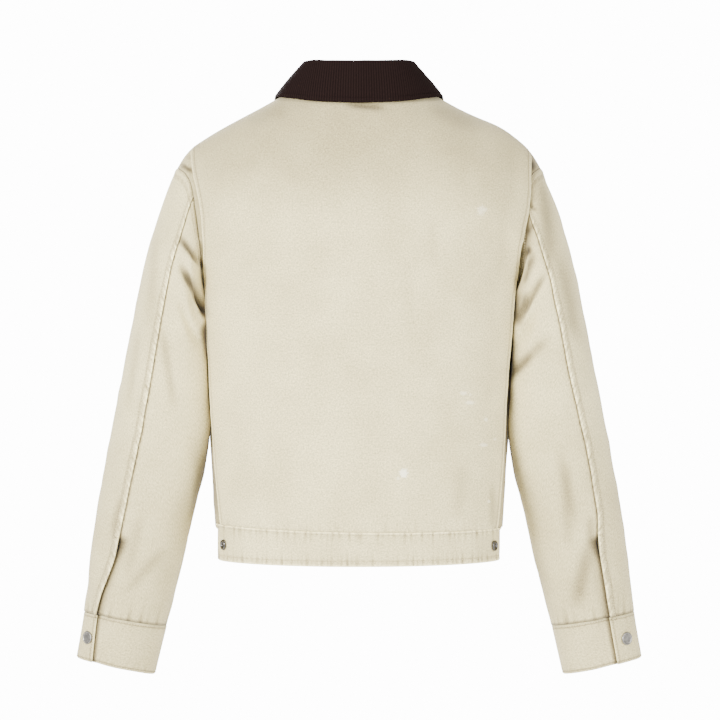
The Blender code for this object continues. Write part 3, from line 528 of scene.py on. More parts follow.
def refine(points, rows, columns):
    """A coarse grid of points drawn finer on smooth curves."""

    def finer(grid, count):
        at = np.linspace(0, grid.shape[0] - 1, count)
        k = np.clip(at.astype(int), 0, grid.shape[0] - 2)
        t = (at - k).reshape((-1,) + (1,) * (grid.ndim - 1))
        last = grid.shape[0] - 1
        a, b = grid[np.maximum(k - 1, 0)], grid[k]
        c, d = grid[k + 1], grid[np.minimum(k + 2, last)]
        first, second = (c - a) / 2, (d - b) / 2
        rise = 3 * (c - b) - 2 * first - second
        return b + first * t + rise * t**2 + (first + second - 2 * (c - b)) * t**3

    finer_rows = finer(np.asarray(points, float), rows)
    return np.swapaxes(finer(np.swapaxes(finer_rows, 0, 1), columns), 0, 1)


def wave(run, length, seed):
    """An uneven ripple along a run in metres, from about -1 to 1, its waves about this long."""
    at = run * math.tau / length
    return (
        0.50 * np.sin(at + seed)
        + 0.32 * np.sin(at * 0.61 + 2.3 * seed + 1.1)
        + 0.28 * np.sin(at * 1.53 + 3.7 * seed + 0.4)
        + 0.20 * np.sin(at * 0.23 + 5.1 * seed)
    )


def drape(points, seed, height=0.0009, length=0.085):
    """The cloth's slow unevenness, in metres."""
    x, y, z = points[..., 0], points[..., 1], points[..., 2]
    first = wave(x + 0.35 * z, length, seed) * wave(z - 0.5 * x + y, length * 1.3, seed + 2.0)
    second = wave(z + 0.6 * x, length * 0.55, seed + 4.0) * wave(x - y, length * 0.6, seed + 1.0)
    return height * (first + 0.45 * second)


# Painted shade on the cloth beside the body, where each sleeve meets it: row of the photograph's frame, where
# the body ends there, how far out the painted shade reaches and how strong it is.
SHADE_BESIDE_BODY = {
    1: Table(
        ("row", "edge", "reach", "painted_shade"),
        (215.0, 200.0, 5.0, 0.00), (290.0, 205.0, 3.0, 0.00), (303.0, 205.5, 3.0, 0.20),
        (312.0, 206.0, 5.0, 0.80), (320.0, 206.0, 3.5, 0.05), (333.0, 206.5, 5.0, 0.80),
        (350.0, 207.5, 3.5, 0.60), (370.0, 208.5, 3.0, 0.10), (450.0, 206.0, 10.0, 0.05),
        (470.0, 201.0, 6.0, 0.20), (490.0, 197.0, 4.0, 0.25), (520.0, 193.0, 4.0, 0.10),
    ),
    -1: Table(
        ("row", "edge", "reach", "painted_shade"),
        (158.0, 532.0, 3.0, 0.20), (166.0, 531.0, 4.5, 0.90), (173.0, 529.5, 6.0, 0.30),
        (190.0, 528.5, 9.0, 0.25), (210.0, 525.0, 7.0, 0.45), (230.0, 521.5, 9.0, 0.50),
        (250.0, 519.0, 10.0, 0.30), (261.0, 518.0, 5.0, 0.35), (270.0, 517.0, 5.0, 0.30),
        (290.0, 516.0, 8.0, 0.15), (305.0, 514.5, 4.5, 0.60), (313.0, 514.0, 4.5, 0.60),
        (330.0, 512.0, 9.0, 0.00), (350.0, 510.0, 7.0, 0.20), (372.0, 509.0, 6.0, 0.60),
        (385.0, 509.0, 5.0, 0.10), (400.0, 507.0, 5.0, 0.30), (420.0, 507.0, 7.0, 0.05),
        (470.0, 514.0, 6.0, 0.05),
    ),
}  # fmt: skip


def seen_at(points):
    """Where points are seen in the photograph's frame, in pixels across and down."""
    nearer = VIEW_DISTANCE / (VIEW_DISTANCE - points[..., 1])
    across = ORIGIN_ACROSS - (VIEW_X + (points[..., 0] - VIEW_X) * nearer) / PIXEL
    return across, ORIGIN_DOWN - (VIEW_Z + (points[..., 2] - VIEW_Z) * nearer) / PIXEL


def painted_shade_beside_body(points, facing, hand):
    """Painted shade on the cloth beside the body, from 0 to 1."""
    across, row = seen_at(points)
    table = SHADE_BESIDE_BODY[hand]
    beyond = -hand * (across - table.read(row, "edge"))
    reach = near(np.maximum(beyond, 0.0), 0.0, table.read(row, "reach"))
    return table.read(row, "painted_shade") * reach * ease((facing[..., 1] + 0.3) / 0.4)


def creased(points, facing):
    """Depth of the creases seen from behind, in metres, and the painted shade in them, from 0 to 1."""
    depth = 0.0
    px, py = seen_at(points)
    for crease in CREASES.named():
        run = (crease["x1"] - crease["x0"], crease["y1"] - crease["y0"])
        length = math.hypot(*run)
        dx, dy = px - crease["x0"], py - crease["y0"]
        t = (dx * run[0] + dy * run[1]) / length**2
        off = (dx * run[1] - dy * run[0]) / length
        fade = ease((t + 0.25) / 0.5) * ease((1.25 - t) / 0.5)
        depth = depth + crease["depth"] * fade * near(off, 0.0, crease["half_width"])
    depth = depth * ease((facing[..., 1] - 0.10) / 0.5)
    return MILLIMETRE * depth, CREASE_PAINTED_SHADE * np.maximum(depth, 0.0)


def rounded_edge(distance, half):
    """How far a wall's face draws in at its edge, this far from it, to round it off."""
    inside = np.clip(1 - distance / half, 0.0, 1.0)
    return half * (1 - np.sqrt(1 - inside**2))


class Surface:
    """The outer face of a cloth piece, kept for the stitches that lie on it."""

    kept = {}

    def __init__(self, name, points, facing):
        self.points, self.facing = points, facing
        Surface.kept[name] = self

    def line(self, edge, distance, start=0.0, end=1.0):
        """A line this far from one edge: low or high (rows), first or last (columns)."""
        points, facing = self.points, self.facing
        if edge in ("first", "last"):
            points, facing = np.swapaxes(points, 0, 1), np.swapaxes(facing, 0, 1)
        if edge in ("high", "last"):
            points, facing = points[::-1], facing[::-1]
        run = travelled(points, 0)
        picked = range(int(start * (run.shape[1] - 1)), int(end * (run.shape[1] - 1)) + 1)

        def at_distance(grid):
            return np.array(
                [[np.interp(distance, run[:, k], grid[:, k, c]) for c in range(3)] for k in picked]
            )

        return at_distance(points), at_distance(facing)


# ---- making pieces


def finished(obj, body, slot, *nodes):
    bpy.context.scene.collection.objects.link(obj)
    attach(obj, body)
    if nodes:
        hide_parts(*nodes)
    return obj


def closed_grid(name, rows, columns):
    """One grid joined to another all round, and the number of each vertex's point, outer face first."""
    shape = bmesh.new()
    place = shape.verts.layers.int.new("place")
    bmesh.ops.create_grid(shape, x_segments=columns - 1, y_segments=rows - 1, size=1)
    for number, vertex in enumerate(shape.verts):
        vertex[place] = number
    made = bmesh.ops.extrude_face_region(shape, geom=shape.faces[:], use_keep_orig=True)
    for vertex in made["geom"]:
        if isinstance(vertex, bmesh.types.BMVert):
            vertex[place] += rows * columns
    bmesh.ops.recalc_face_normals(shape, faces=shape.faces[:])
    mesh = bpy.data.meshes.new(name)
    shape.to_mesh(mesh)
    shape.free()
    order = np.zeros(len(mesh.vertices), np.int32)
    mesh.attributes["place"].data.foreach_get("value", order)
    mesh.attributes.remove(mesh.attributes["place"])
    return mesh, order


def turn_outwards(shape):
    if shape.calc_volume(signed=True) < 0:
        bmesh.ops.reverse_faces(shape, faces=shape.faces[:])


def cloth_wall(node, outer, inner, finish, slot="canvas", lay=None, painted_shade_and_wear=None):
    """One closed wall between two grids of points, with its own lay of the weave."""
    mesh, order = closed_grid(f"{node}_cloth", *outer.shape[:2])
    points = np.concatenate([outer.reshape(-1, 3), inner.reshape(-1, 3)])[order]
    mesh.vertices.foreach_set("co", points.astype(np.float32).ravel())
    if lay is None:
        lay = np.stack([travelled(outer, 1), travelled(outer, 0)], axis=-1)
    flat = np.zeros_like(points, np.float32)
    flat[:, :2] = np.tile(lay.reshape(-1, 2), (2, 1))[order]
    mesh.attributes.new("weave", "FLOAT_VECTOR", "POINT").data.foreach_set("vector", flat.ravel())
    # painted shade and wear on each point: darker up to 1, and below 0 a painted highlight
    if painted_shade_and_wear is not None:
        dulled = np.tile(np.clip(painted_shade_and_wear, -0.3, 1.2).ravel(), 2)[order]
        mesh.attributes.new("painted_shade_and_wear", "FLOAT", "POINT").data.foreach_set("value", dulled.astype(np.float32))
    mesh.update()
    shape = bmesh.new()
    shape.from_mesh(mesh)
    turn_outwards(shape)
    shape.to_mesh(mesh)
    shape.free()
    mesh.materials.append(finish)
    mesh.shade_smooth()
    piece = finished(bpy.data.objects.new(f"{node}_cloth", mesh), "jacket", slot, node)
    return piece


def stitch_shape(length, radius):
    """One stitch: a slim thread, fullest in its middle, whose ends go down into the cloth."""
    shape = bmesh.new()
    bmesh.ops.create_icosphere(shape, subdivisions=1, radius=1.0)
    bmesh.ops.scale(shape, vec=(length / 2, radius, radius), verts=shape.verts[:])
    mesh = bpy.data.meshes.new("one_stitch")
    shape.to_mesh(mesh)
    shape.free()
    return mesh


def evenly(line, up, spacing):
    """Points at even spacing along a line, with its run and its facing there."""
    run = travelled(line, 0)
    count = max(1, int(run[-1] / spacing))
    at = (np.arange(count) + 0.5) * run[-1] / count

    def along(values, where):
        return np.stack([np.interp(where, run, values[:, c]) for c in range(3)], axis=-1)

    return along(line, at), along(line, at + spacing / 2) - along(line, at - spacing / 2), along(up, at)


def upright(place, run, facing):
    """The matrix that lays a small shape on the cloth: X along the run and Z out of the cloth."""
    run, facing = Vector(run).normalized(), Vector(facing).normalized()
    side = facing.cross(run).normalized()
    out = run.cross(side)
    turn = Matrix((run, side, out)).transposed().to_4x4()
    return Matrix.Translation(Vector(place)) @ turn


def scattered(shape, template, matrices):
    """Adds a copy of a small mesh at each place."""
    for matrix in matrices:
        template.transform(matrix)
        shape.from_mesh(template)
        template.transform(matrix.inverted())


def made_object(name, shape, finish, body, slot, *nodes, smooth=True):
    mesh = bpy.data.meshes.new(name)
    shape.to_mesh(mesh)
    shape.free()
    mesh.materials.append(finish)
    if smooth:
        mesh.shade_smooth()
    return finished(bpy.data.objects.new(name, mesh), body, slot, *nodes)


# ---- body pieces


def panel_rows(low, high):
    """v of a body panel's rows, close together near the shoulder where it turns over."""
    turn = 0.86
    first = np.linspace(0.0006, turn, low, endpoint=False)
    return np.concatenate([first, 1 - (1 - turn) * np.linspace(1, 0, high) ** 2.2])


def kept_side(points, side):
    points = points.copy()
    points[..., 1] = side * np.maximum(side * points[..., 1], GAP / 2)
    return points


def band_puckers(x, z, seed):
    """Small upright puckers where the body is gathered a little into the waistband."""
    slow = 0.5 + 0.5 * wave(x, 0.070, seed + 3)
    puckers = 0.00050 * wave(x, 0.0070, seed) + 0.00045 * slow * wave(x, 0.019, seed + 1)
    return puckers * fading(z, BAND_TOP, 0.0075)


def body_wall(node, side, base, facing, lift, thickness, rounded, finish, lay=None, painted_shade_and_wear=None):
    """A piece of the body: a wall this thick under its lifted face, kept on one side of the middle."""
    outer = kept_side(base + facing * (lift - rounded)[..., None], side)
    inner = kept_side(base + facing * (lift - thickness + rounded)[..., None], side)
    Surface(node, outer, facings(outer, -float(side)))
    return cloth_wall(node, outer, inner, finish, lay=lay, painted_shade_and_wear=painted_shade_and_wear)


def make_back(finish):
    rows, columns = panel_rows(*BACK_GRID[0]), BACK_GRID[1]
    v = rows[:, None] * np.ones(columns)
    t = np.linspace(-1, 1, columns)
    share = t * (1.30 - 0.30 * t**2)
    u = share * np.where(share < 0, fold_u(rows, -1)[:, None], fold_u(rows, 1)[:, None])
    base = torso(1, u, v)
    facing = facings(base, -1.0)
    run = travelled(base, 1)
    right_side = (share < 0) * np.ones_like(v, bool)
    inside = np.where(right_side, run, run[:, -1:] - run)
    height = fold_height(v)
    stand = np.where(right_side, FOLD.read(height, "lift"), FOLD.read(height, "lift_left"))
    lift = stand * (1 - ease(inside / np.where(right_side, OPEN_FOLD_BLEND, FOLD_BLEND)))
    # the topstitch presses a shallow line beside each fold, and its thread draws up ripples
    pressed = near(inside, FOLD_STITCH, 0.0011)
    lift = lift - 0.00045 * pressed
    lift = lift + 0.00028 * near(inside, 0.0045, 0.0045) * wave(base[..., 2], 0.011, 2.0)
    puckers = band_puckers(base[..., 0], base[..., 2], 1.0)
    depth, painted_shade = creased(base, facing)
    clear_edge = ease(inside / 0.012)
    lift = lift + puckers + drape(base, 0.7, 0.0010) - depth * clear_edge
    lift = lift * ease((1 - v) / SHOULDER_FADE)
    # painted shade across the shoulders, in the creases, along the stitches and in the puckers' hollows, and
    # a painted highlight on the folded edges
    painted_shade_and_wear = painted_shade * clear_edge + 0.14 * ease((base[..., 2] + 0.17) / 0.12) + 0.14 * pressed
    painted_shade_and_wear = painted_shade_and_wear - 0.12 * near(inside, 0.0014, 0.0014) + 110 * np.maximum(-puckers, 0.0)
    doubled = ease((FOLD_DOUBLE - inside) / (0.4 * FOLD_DOUBLE))
    thickness = CANVAS + (DOUBLED - CANVAS) * doubled
    rounded = rounded_edge(inside, EDGE_ROUNDING * DOUBLED)
    lay = np.stack([run - run[:, columns // 2][:, None], travelled(base, 0)], axis=-1)
    return [body_wall("back_centre", 1, base, facing, lift, thickness, rounded, finish, lay, painted_shade_and_wear)]


def make_back_sides(finish):
    made = []
    rows, columns = panel_rows(*BACK_SIDE_GRID[0]), BACK_SIDE_GRID[1]
    share = np.linspace(0, 1, columns)
    for word, hand, deeper in (("left", 1, 0.0006), ("right", -1, 0.0035)):
        v = rows[:, None] * np.ones(columns)
        start = fold_u(rows, 1, PLEAT_DEPTH)[:, None]
        base = torso(1, hand * (start + (1 - start) * share), v)
        facing = facings(base, -1.0 * hand)
        under = fold_u(rows, 1)[:, None]
        lift = -BACKING_DROP * (1 - ease((start + (1 - start) * share - under) / (1 - under)))
        # the strip lies deeper where the fold over it stands open
        open_fold = ease((base[..., 2] + 0.36) / 0.06) * ease((-0.075 - base[..., 2]) / 0.03)
        lift = lift - deeper * open_fold * ease(np.minimum(share, 1 - share) * 3)
        lift = lift * ease((1 - v) / SHOULDER_FADE)
        # painted shade on the strip under the fold, in its creases and beside the sleeve
        painted_shade_and_wear = 0.10 + creased(base, facing)[1] + painted_shade_beside_body(base, facing, hand)
        if hand < 0:
            base, facing, lift, painted_shade_and_wear = (grid[:, ::-1] for grid in (base, facing, lift, painted_shade_and_wear))
        made.append(body_wall(f"back_side_{word}", 1, base, facing, lift, CANVAS, 0.0, finish, None, painted_shade_and_wear))
    return made


def make_fronts(finish):
    made = []
    rows, columns = panel_rows(*FRONT_GRID[0]), FRONT_GRID[1]
    share = np.linspace(0, 1, columns)
    share = share * (0.85 + 0.15 * share)
    for word, hand in (("left", 1), ("right", -1)):
        v = rows[:, None] * np.ones(columns)
        first = u_at(ZIP_HALF_GAP, rows)[:, None]
        base = torso(-1, hand * (first + (1 - first) * share), v)
        if hand < 0:
            base = base[:, ::-1]
        facing = facings(base, 1.0)
        run = travelled(base, 1)
        inside = run if hand > 0 else run[:, -1:] - run
        lift = drape(base, 3.0 + hand, 0.0012) + band_puckers(base[..., 0], base[..., 2], 4.0)
        lift = lift - 0.00040 * near(inside, FRONT_STITCH, 0.0011)
        lift = lift + 0.00018 * fading(inside, 0.0, 0.006) * wave(base[..., 2], 0.009, 5.0)
        lift = lift * ease((1 - v) / SHOULDER_FADE)
        rounded = rounded_edge(inside, EDGE_ROUNDING * CANVAS)
        made.append(body_wall(f"front_{word}", -1, base, facing, lift, CANVAS, rounded, finish))
    return made


def make_waistband(finish):
    made = []
    opening = float(u_at(ZIP_HALF_GAP, 0.0))
    pieces = (("waistband_back", 1, -1.0, 1.0), ("waistband_left", -1, opening, 1.0),
              ("waistband_right", -1, -1.0, -opening))  # fmt: skip
    for node, side, start, end in pieces:
        v = np.linspace(-1.0, -0.0002, BAND_ROWS)[:, None] * np.ones(BAND_COLUMNS[node])
        base = torso(side, np.linspace(start, end, BAND_COLUMNS[node]) * np.ones_like(v), v)
        facing = facings(base, -float(side))
        facing[..., 2] = 0.0
        facing /= np.linalg.norm(facing, axis=-1, keepdims=True)
        drop, up = -v * (BAND_HEIGHT + BAND_DIP), (1 + v) * BAND_HEIGHT
        edge = np.minimum(drop, up)
        x = base[..., 0]
        # both rows of stitches press a line and draw up puckers
        puckers = 0.00075 * wave(x, 0.0064, 7.0) * fading(drop, 0.0026, 0.0060)
        puckers = puckers + 0.00075 * wave(x, 0.0058, 9.0) * fading(up, 0.0040, 0.0055)
        pressed = near(drop, BAND_STITCH, 0.0009) + near(up, BAND_LOW_STITCH, 0.0010)
        lift = 0.0004 + puckers + 0.00060 * wave(x, 0.045, 8.0) * ease(up / 0.01) - 0.00040 * pressed
        # painted shade along the stitches and in the puckers' hollows, and paler edges, partly rubbed and
        # partly a painted highlight
        painted_shade_and_wear = pressed * (0.08 + 0.06 * wave(x, 0.0068, 7.0)) + 320 * np.maximum(-puckers, 0.0)
        painted_shade_and_wear = painted_shade_and_wear - 0.20 * near(edge, 0.0, 0.0016)
        rounded = rounded_edge(edge, EDGE_ROUNDING * BAND)
        made.append(body_wall(node, side, base, facing, lift, BAND, rounded, finish, None, painted_shade_and_wear))
    return made


# ---- sleeves and cuffs


def mirrored(points, hand):
    return points * np.array([hand, 1.0, 1.0])


def seam_gap(along):
    return np.degrees(GAP / 2 / SLEEVE.read(along, "half_depth")) * 1.3


def make_sleeves(finish):
    made = []
    for word, hand, seed in (("left", 1, 11.0), ("right", -1, 17.0)):
        made += [sleeve_panel(panel, word, hand, seed, finish) for panel in ("upper", "under")]
    return made


def sleeve_seam(along, hand):
    return SLEEVE.read(along, "seam_left" if hand > 0 else "seam_right")


def outwards(base, across):
    """The normals of a tube's grid of points, turned away from the points across the tube."""
    facing = facings(base)
    middle = base.shape[0] // 2, base.shape[1] // 2
    return facing if (facing[middle] * (base - across)[middle]).sum() > 0 else -facing


def sleeve_turns(panel, along, share, hand):
    """The turns of a panel's points. The panels meet in front, and behind at the felled seam."""
    seam, gap = sleeve_seam(along, hand), seam_gap(along)
    if panel == "upper":
        share = 1 - (1 - share) * (0.55 + 0.45 * (1 - share))
        first, last = FRONT_SEAM - 360 + gap, seam - gap
    else:
        share = share * (0.55 + 0.45 * share)
        lap = SLIT_LAP * ease((along - SLIT_TOP - 0.012) / 0.03)
        first, last = seam + gap - lap, FRONT_SEAM - gap
    return first + (last - first) * share


def upper_seam(beside, length, along, slit, seed):
    """The felled seam: a raised, puckered edge with a second stitch further out. Lift, and painted shade and
    highlight.
    """
    seamed = ease(along / 0.012)
    ridge = seamed * np.exp(-((beside / 0.0085) ** 4))
    puckers = wave(length, 0.0066, seed + 2) + 0.4 * wave(length, 0.021, seed + 5)
    lift = ridge * (0.0010 + 0.00042 * puckers) + 0.0012 * slit * near(beside, 0.0, 0.010)
    lift = lift - 0.00045 * seamed * near(beside, SEAM_OUTER_STITCH, 0.0010)
    lift = lift + 0.00030 * seamed * puckers * near(beside, 0.010, 0.006)
    # painted shade in the puckers' hollows and along the outer stitch, and painted highlight on the puckers'
    # crests and the raised edge
    painted_shade_and_wear = ridge * (0.16 * np.maximum(-puckers, 0.0) - 0.06 * np.maximum(puckers, 0.0))
    painted_shade_and_wear = painted_shade_and_wear + 0.24 * seamed * near(beside, SEAM_OUTER_STITCH, 0.0012) * (0.7 + 0.6 * puckers)
    painted_shade_and_wear = painted_shade_and_wear - 0.20 * near(beside, 0.0010, 0.0012) * (0.8 + 0.4 * puckers)
    return lift, painted_shade_and_wear


def under_seam(beside, length, along, slit, seed):
    """The under sleeve beside the seam, pressed in, and set back under the slit. Lift, and painted shade."""
    puckers = wave(length, 0.0095, seed + 3)
    valley = ease(along / 0.012) * near(beside, 0.0, 0.0045) * (1 - slit)
    lift = -valley * (0.0007 + 0.0003 * puckers) - slit * SLIT_DROP * (1 - ease((beside - 0.010) / 0.010))
    # painted shade in the seam's valley and inside the slit
    painted_shade_and_wear = 0.50 * near(beside, 0.0, 0.0016) * (0.8 + 0.3 * puckers)
    return lift, painted_shade_and_wear + 0.70 * slit * near(beside, 0.0, 0.0075)


def armhole_seam(along, turn, seed):
    """The pressed seam round the armhole, with a felled edge behind. Lift, and painted shade."""
    tops = wave(turn, 7.0, seed + 6)
    felled = near(along, 0.0046, 0.0028) * ease((turn + 40) / 20) * ease((200 - turn) / 20)
    lift = felled * (0.0006 + 0.0003 * tops) - 0.0006 * near(along, 0.0012, 0.0030) * ease(along / 0.001)
    # painted shade along the seam and its outer stitch
    return lift, 0.35 * near(along, 0.0, 0.0018) + (0.20 + 0.10 * tops) * near(along, 0.0086, 0.0011)


def cuff_gathers(along, run, seed):
    """Small puckers where the sleeve is set into its cuff. Lift, and painted shade."""
    reach, gathers = fading(along, CUFF_TOP, 0.010), wave(run, 0.012, seed + 1)
    lift = 0.00045 * reach * gathers * ease((CUFF_TOP - along) / 0.002)
    # painted shade along the seam and in the puckers' hollows
    return lift, 0.26 * near(along, CUFF_TOP, 0.0014) + 0.25 * reach * np.maximum(-gathers, 0.0)


def sleeve_panel(panel, word, hand, seed, finish):
    t, columns = np.linspace(0, 1, SLEEVE_ROWS), SLEEVE_COLUMNS[panel]
    along = (t * (0.70 + 0.30 * t) * (CUFF_TOP - GAP))[:, None] * np.ones(columns)
    slit = ease((along - SLIT_TOP) / 0.012)
    turn = sleeve_turns(panel, along, np.linspace(0, 1, columns), hand)
    base = sleeve(along, turn)
    # a soft roll of cloth leans in over the gap between sleeve and body
    rolled = ease(along / 0.04) * ease((0.31 - along) / 0.09)
    base[..., 0] -= SLEEVE_ROLL[hand] * near(turn, 147.0, 17.0) * rolled
    facing = outwards(base, ring(along, turn + 180))
    run, length = travelled(base, 1), travelled(base, 0)
    seam = (upper_seam(run[:, -1:] - run, length, along, slit, seed) if panel == "upper"
            else under_seam(run, length, along, slit, seed))  # fmt: skip
    seams = seam, armhole_seam(along, turn, seed), cuff_gathers(along, run, seed)
    # the cloth lies quietly where it rests beside the body
    resting = ease((0.34 - along) / 0.04) * near(turn, 180.0, 26.0)
    fade = ease(along / 0.02) * ease((CUFF_TOP - along) / 0.02)
    seen = mirrored(base, hand), mirrored(facing, hand)
    depth, painted_shade = creased(*seen)
    lift = drape(base, seed, 0.0012, 0.070) * fade * (1 - resting) + sum(lifted for lifted, _ in seams)
    lift = lift - depth * ease(along / 0.008) * (1 - 0.9 * resting)
    # painted shade in the creases, along the seams and beside the body, and a little darker towards the cuff
    painted_shade_and_wear = painted_shade + sum(dulled for _, dulled in seams)
    painted_shade_and_wear = painted_shade_and_wear + 0.05 * ease((along - 0.22) / 0.15) + painted_shade_beside_body(*seen, hand)
    if hand < 0:
        # the sleeve falls away behind the open fold
        behind = ease((turn - 25) / 30) * ease((175 - turn) / 45)
        lift = lift - 0.0075 * behind * near(along, 0.013, 0.013) * ease(along / 0.006)
    outer = base + facing * lift[..., None]
    inner = outer - facing * CANVAS
    rim = armhole(turn[:1])
    outer[:1] = rim + 0.15 * GAP * facing[:1]
    inner[:1] = rim - CANVAS * facing[:1]
    node = f"sleeve_{panel}_{word}"
    Surface(node, mirrored(outer, hand), mirrored(facing, hand))
    return cloth_wall(node, mirrored(outer, hand), mirrored(inner, hand), finish, painted_shade_and_wear=painted_shade_and_wear)


def make_cuffs(finish):
    made = []
    rows, columns = CUFF_GRID
    for word, hand, seed in (("left", 1, 23.0), ("right", -1, 29.0)):
        start = float(sleeve_seam(CUFF_TOP, hand))
        gone = np.linspace(0, 360.0 + CUFF_LAP, columns) * np.ones((rows, 1))
        along = np.linspace(CUFF_TOP + GAP, CUFF_END, rows)[:, None] * np.ones(columns)
        lean = sleeve_seam(along, hand) - start
        turn = start - gone + lean * (1 - ease(gone / 60.0)) + lean * ease((gone - 300.0) / 60.0)
        base = ring(along, turn)
        facing = outwards(base, ring(along, turn + 180))
        run = travelled(base, 1)
        low, high = CUFF_END - along, along - CUFF_TOP - GAP
        edge = np.minimum(np.minimum(low, high), run)
        puckers = 0.00035 * wave(run, 0.0075, seed) * fading(high, 0.003, 0.005)
        puckers = puckers + 0.00035 * wave(run, 0.0085, seed + 1) * fading(low, 0.004, 0.005)
        pressed = sum(near(distance, CUFF_STITCH, 0.0009) for distance in (low, high, run))
        # the under end sinks below the lapped one, and a painted shadow of the lapped one darkens it
        sunk = (BAND + 0.0007) * ease((gone - 325.0) / 32.0)
        lift = (puckers + 0.0007 * wave(run, 0.060, seed + 2)) * ease((350.0 - gone) / 40.0)
        lift = lift - 0.00035 * pressed - sunk
        # a little darker all over, with painted shade along the stitches, in the puckers' hollows and on the
        # under end, and paler at the rounded edges, partly rubbed and partly a painted highlight
        painted_shade_and_wear = 0.06 + 0.22 * pressed + 200 * np.maximum(-puckers, 0.0) + 0.38 * ease((gone - 353.0) / 6.0)
        painted_shade_and_wear = painted_shade_and_wear - 0.10 * near(edge, 0.0, 0.0014)
        rounded = rounded_edge(edge, EDGE_ROUNDING * BAND)
        outer = base + facing * (lift - rounded)[..., None]
        inner = base + facing * (lift - BAND + rounded)[..., None]
        outer, inner, facing = (mirrored(grid, hand) for grid in (outer, inner, facing))
        Surface(f"cuff_{word}", outer, facing)
        made.append(cloth_wall(f"cuff_{word}", outer, inner, finish, painted_shade_and_wear=painted_shade_and_wear))
    return made


# ---- collar


def collar_frame(turn, hand):
    """The neck seam's point, the fall's lower edge, and the way out between them."""
    side = 1 if turn <= 90 else -1
    across = NECK_HALF_WIDTH * math.sin(math.radians(turn))
    seam = Vector(torso(side, float(u_at(across, 1.0)), 1.0))
    if turn == 90:
        seam.y = 0.0
    edge = Vector((COLLAR.read(turn, "edge_x"), 0, COLLAR.read(turn, "edge_z")))
    if turn != 90:
        edge.y = surface_y(side, edge.x, edge.z)
    away = Vector((edge.x - seam.x, edge.y - seam.y, 0)).normalized()
    flip = Matrix.Diagonal((hand, 1, 1))
    return flip @ seam, flip @ edge, flip @ away


def clearance(point):
    """How far a point lies outside the body, and the way out of it there."""
    side = 1 if point.y > 0 else -1
    step = 5e-4

    def beyond(x, z):
        return abs(point.y) - abs(surface_y(side, x, z))

    slope_x = (beyond(point.x + step, point.z) - beyond(point.x - step, point.z)) / (2 * step)
    slope_z = (beyond(point.x, point.z + step) - beyond(point.x, point.z - step)) / (2 * step)
    slope = Vector((slope_x, side, slope_z))
    return beyond(point.x, point.z) / slope.length, slope.normalized()


def rest_on_body(point, lift):
    """The point, moved out where it has less than this lift over the body."""
    point = point.copy()
    ridge = float(RIDGE.read(abs(point.x), "height"))
    if point.z > ridge - 0.004 and abs(point.y) < 0.014:
        point.z = max(point.z, ridge + lift / 0.88 - point.y**2 / 0.1)
        return point
    for _ in range(4):
        if point.z >= RIDGE.read(abs(point.x), "height") - 5e-4:
            break
        away, outward = clearance(point)
        if away < lift:
            point += outward * (lift - away)
    return point


def collar_columns():
    left = [(turn, 1) for turn in COLLAR_TURNS]
    return [(turn, -1) for turn in reversed(COLLAR_TURNS[1:])] + left


def stand_top(turn, hand):
    seam, _, away = collar_frame(turn, hand)
    return seam - away * COLLAR.read(turn, "inward") + Vector((0, 0, COLLAR.read(turn, "rise")))


def fall_column(turn, hand):
    """The fall's section: up inside, over the roll, and down to its lower edge."""
    _, edge, away = collar_frame(turn, hand)
    radius = float(COLLAR.read(turn, "roll"))
    start = stand_top(turn, hand) - away * STAND + Vector((0, 0, GAP * 2))
    centre = start + away * radius + Vector((0, 0, 0.0012))
    edge = rest_on_body(edge, CORDUROY + FALL_LIFT)
    flat = (edge - centre).dot(away)
    reach = math.hypot(flat, edge.z - centre.z)
    leave = math.atan2(edge.z - centre.z, flat) + math.acos(min(1.0, radius / reach))
    column = [start]
    for step in range(5):
        angle = math.pi + (leave - math.pi) * step / 4
        column.append(centre + away * radius * math.cos(angle))
        column[-1].z += radius * math.sin(angle)
    last, outward = column[-1], away * math.cos(leave) + Vector((0, 0, math.sin(leave)))
    for step in range(1, 6):
        share = step / 5
        bowed = last.lerp(edge, share) + outward * (4 * FALL_BOW * share * (1 - share))
        column.append(rest_on_body(bowed, CORDUROY + FALL_LIFT))
    return column


def wales(run, spacing):
    """The rounded ribs of corduroy across a run in metres, 0 in the grooves and 1 on the ribs."""
    return np.abs(np.sin(math.pi * run / spacing)) ** 0.7


def make_collar(finish):
    return [make_fall(finish), make_stand(finish)]


def make_fall(finish):
    size = bpy.context.scene.jacket_cloth
    rows, columns = FALL_GRID
    coarse = np.array([[tuple(p) for p in fall_column(t, h)] for t, h in collar_columns()])
    base = refine(np.swapaxes(coarse, 0, 1), rows, columns)
    facing = facings(base)
    if facing[3 * rows // 4, columns // 2, 1] < 0:
        facing = -facing
    side, drop = travelled(base, 1), travelled(base, 0)
    # the wales keep the spacing that they have across the fall's middle
    run = side[FALL_WALE_ROW]
    across = (run - run[columns // 2]) * np.ones_like(drop)
    low, end = drop[-1:] - drop, np.minimum(side, side[:, -1:] - side)
    pressed = near(low, COLLAR_STITCH, 0.0012)
    rib = wales(across, size.wale_spacing) * (1 - 0.65 * pressed) * ease(end / 0.002)
    # the pile lies flatter over the roll and along the lower edge
    flatter = (0.25 + 0.75 * ease((low - 0.001) / 0.004)) * (0.35 + 0.65 * ease((drop - 0.014) / 0.012))
    lift = size.wale_height * (rib - WALE_MEAN) * flatter + drape(base, 6.0, 0.0005, 0.060) * ease(low / 0.02)
    lift = lift - 0.0005 * pressed * ease(end / 0.004)
    rounded = rounded_edge(np.minimum(low, end), EDGE_ROUNDING * CORDUROY)
    outer = base + facing * (lift - rounded)[..., None]
    inner = base - facing * (CORDUROY - rounded)[..., None]
    Surface("collar_fall", outer, facing)
    lay = np.stack([across, drop], axis=-1)
    return cloth_wall("collar_fall", outer, inner, finish, "corduroy", lay)


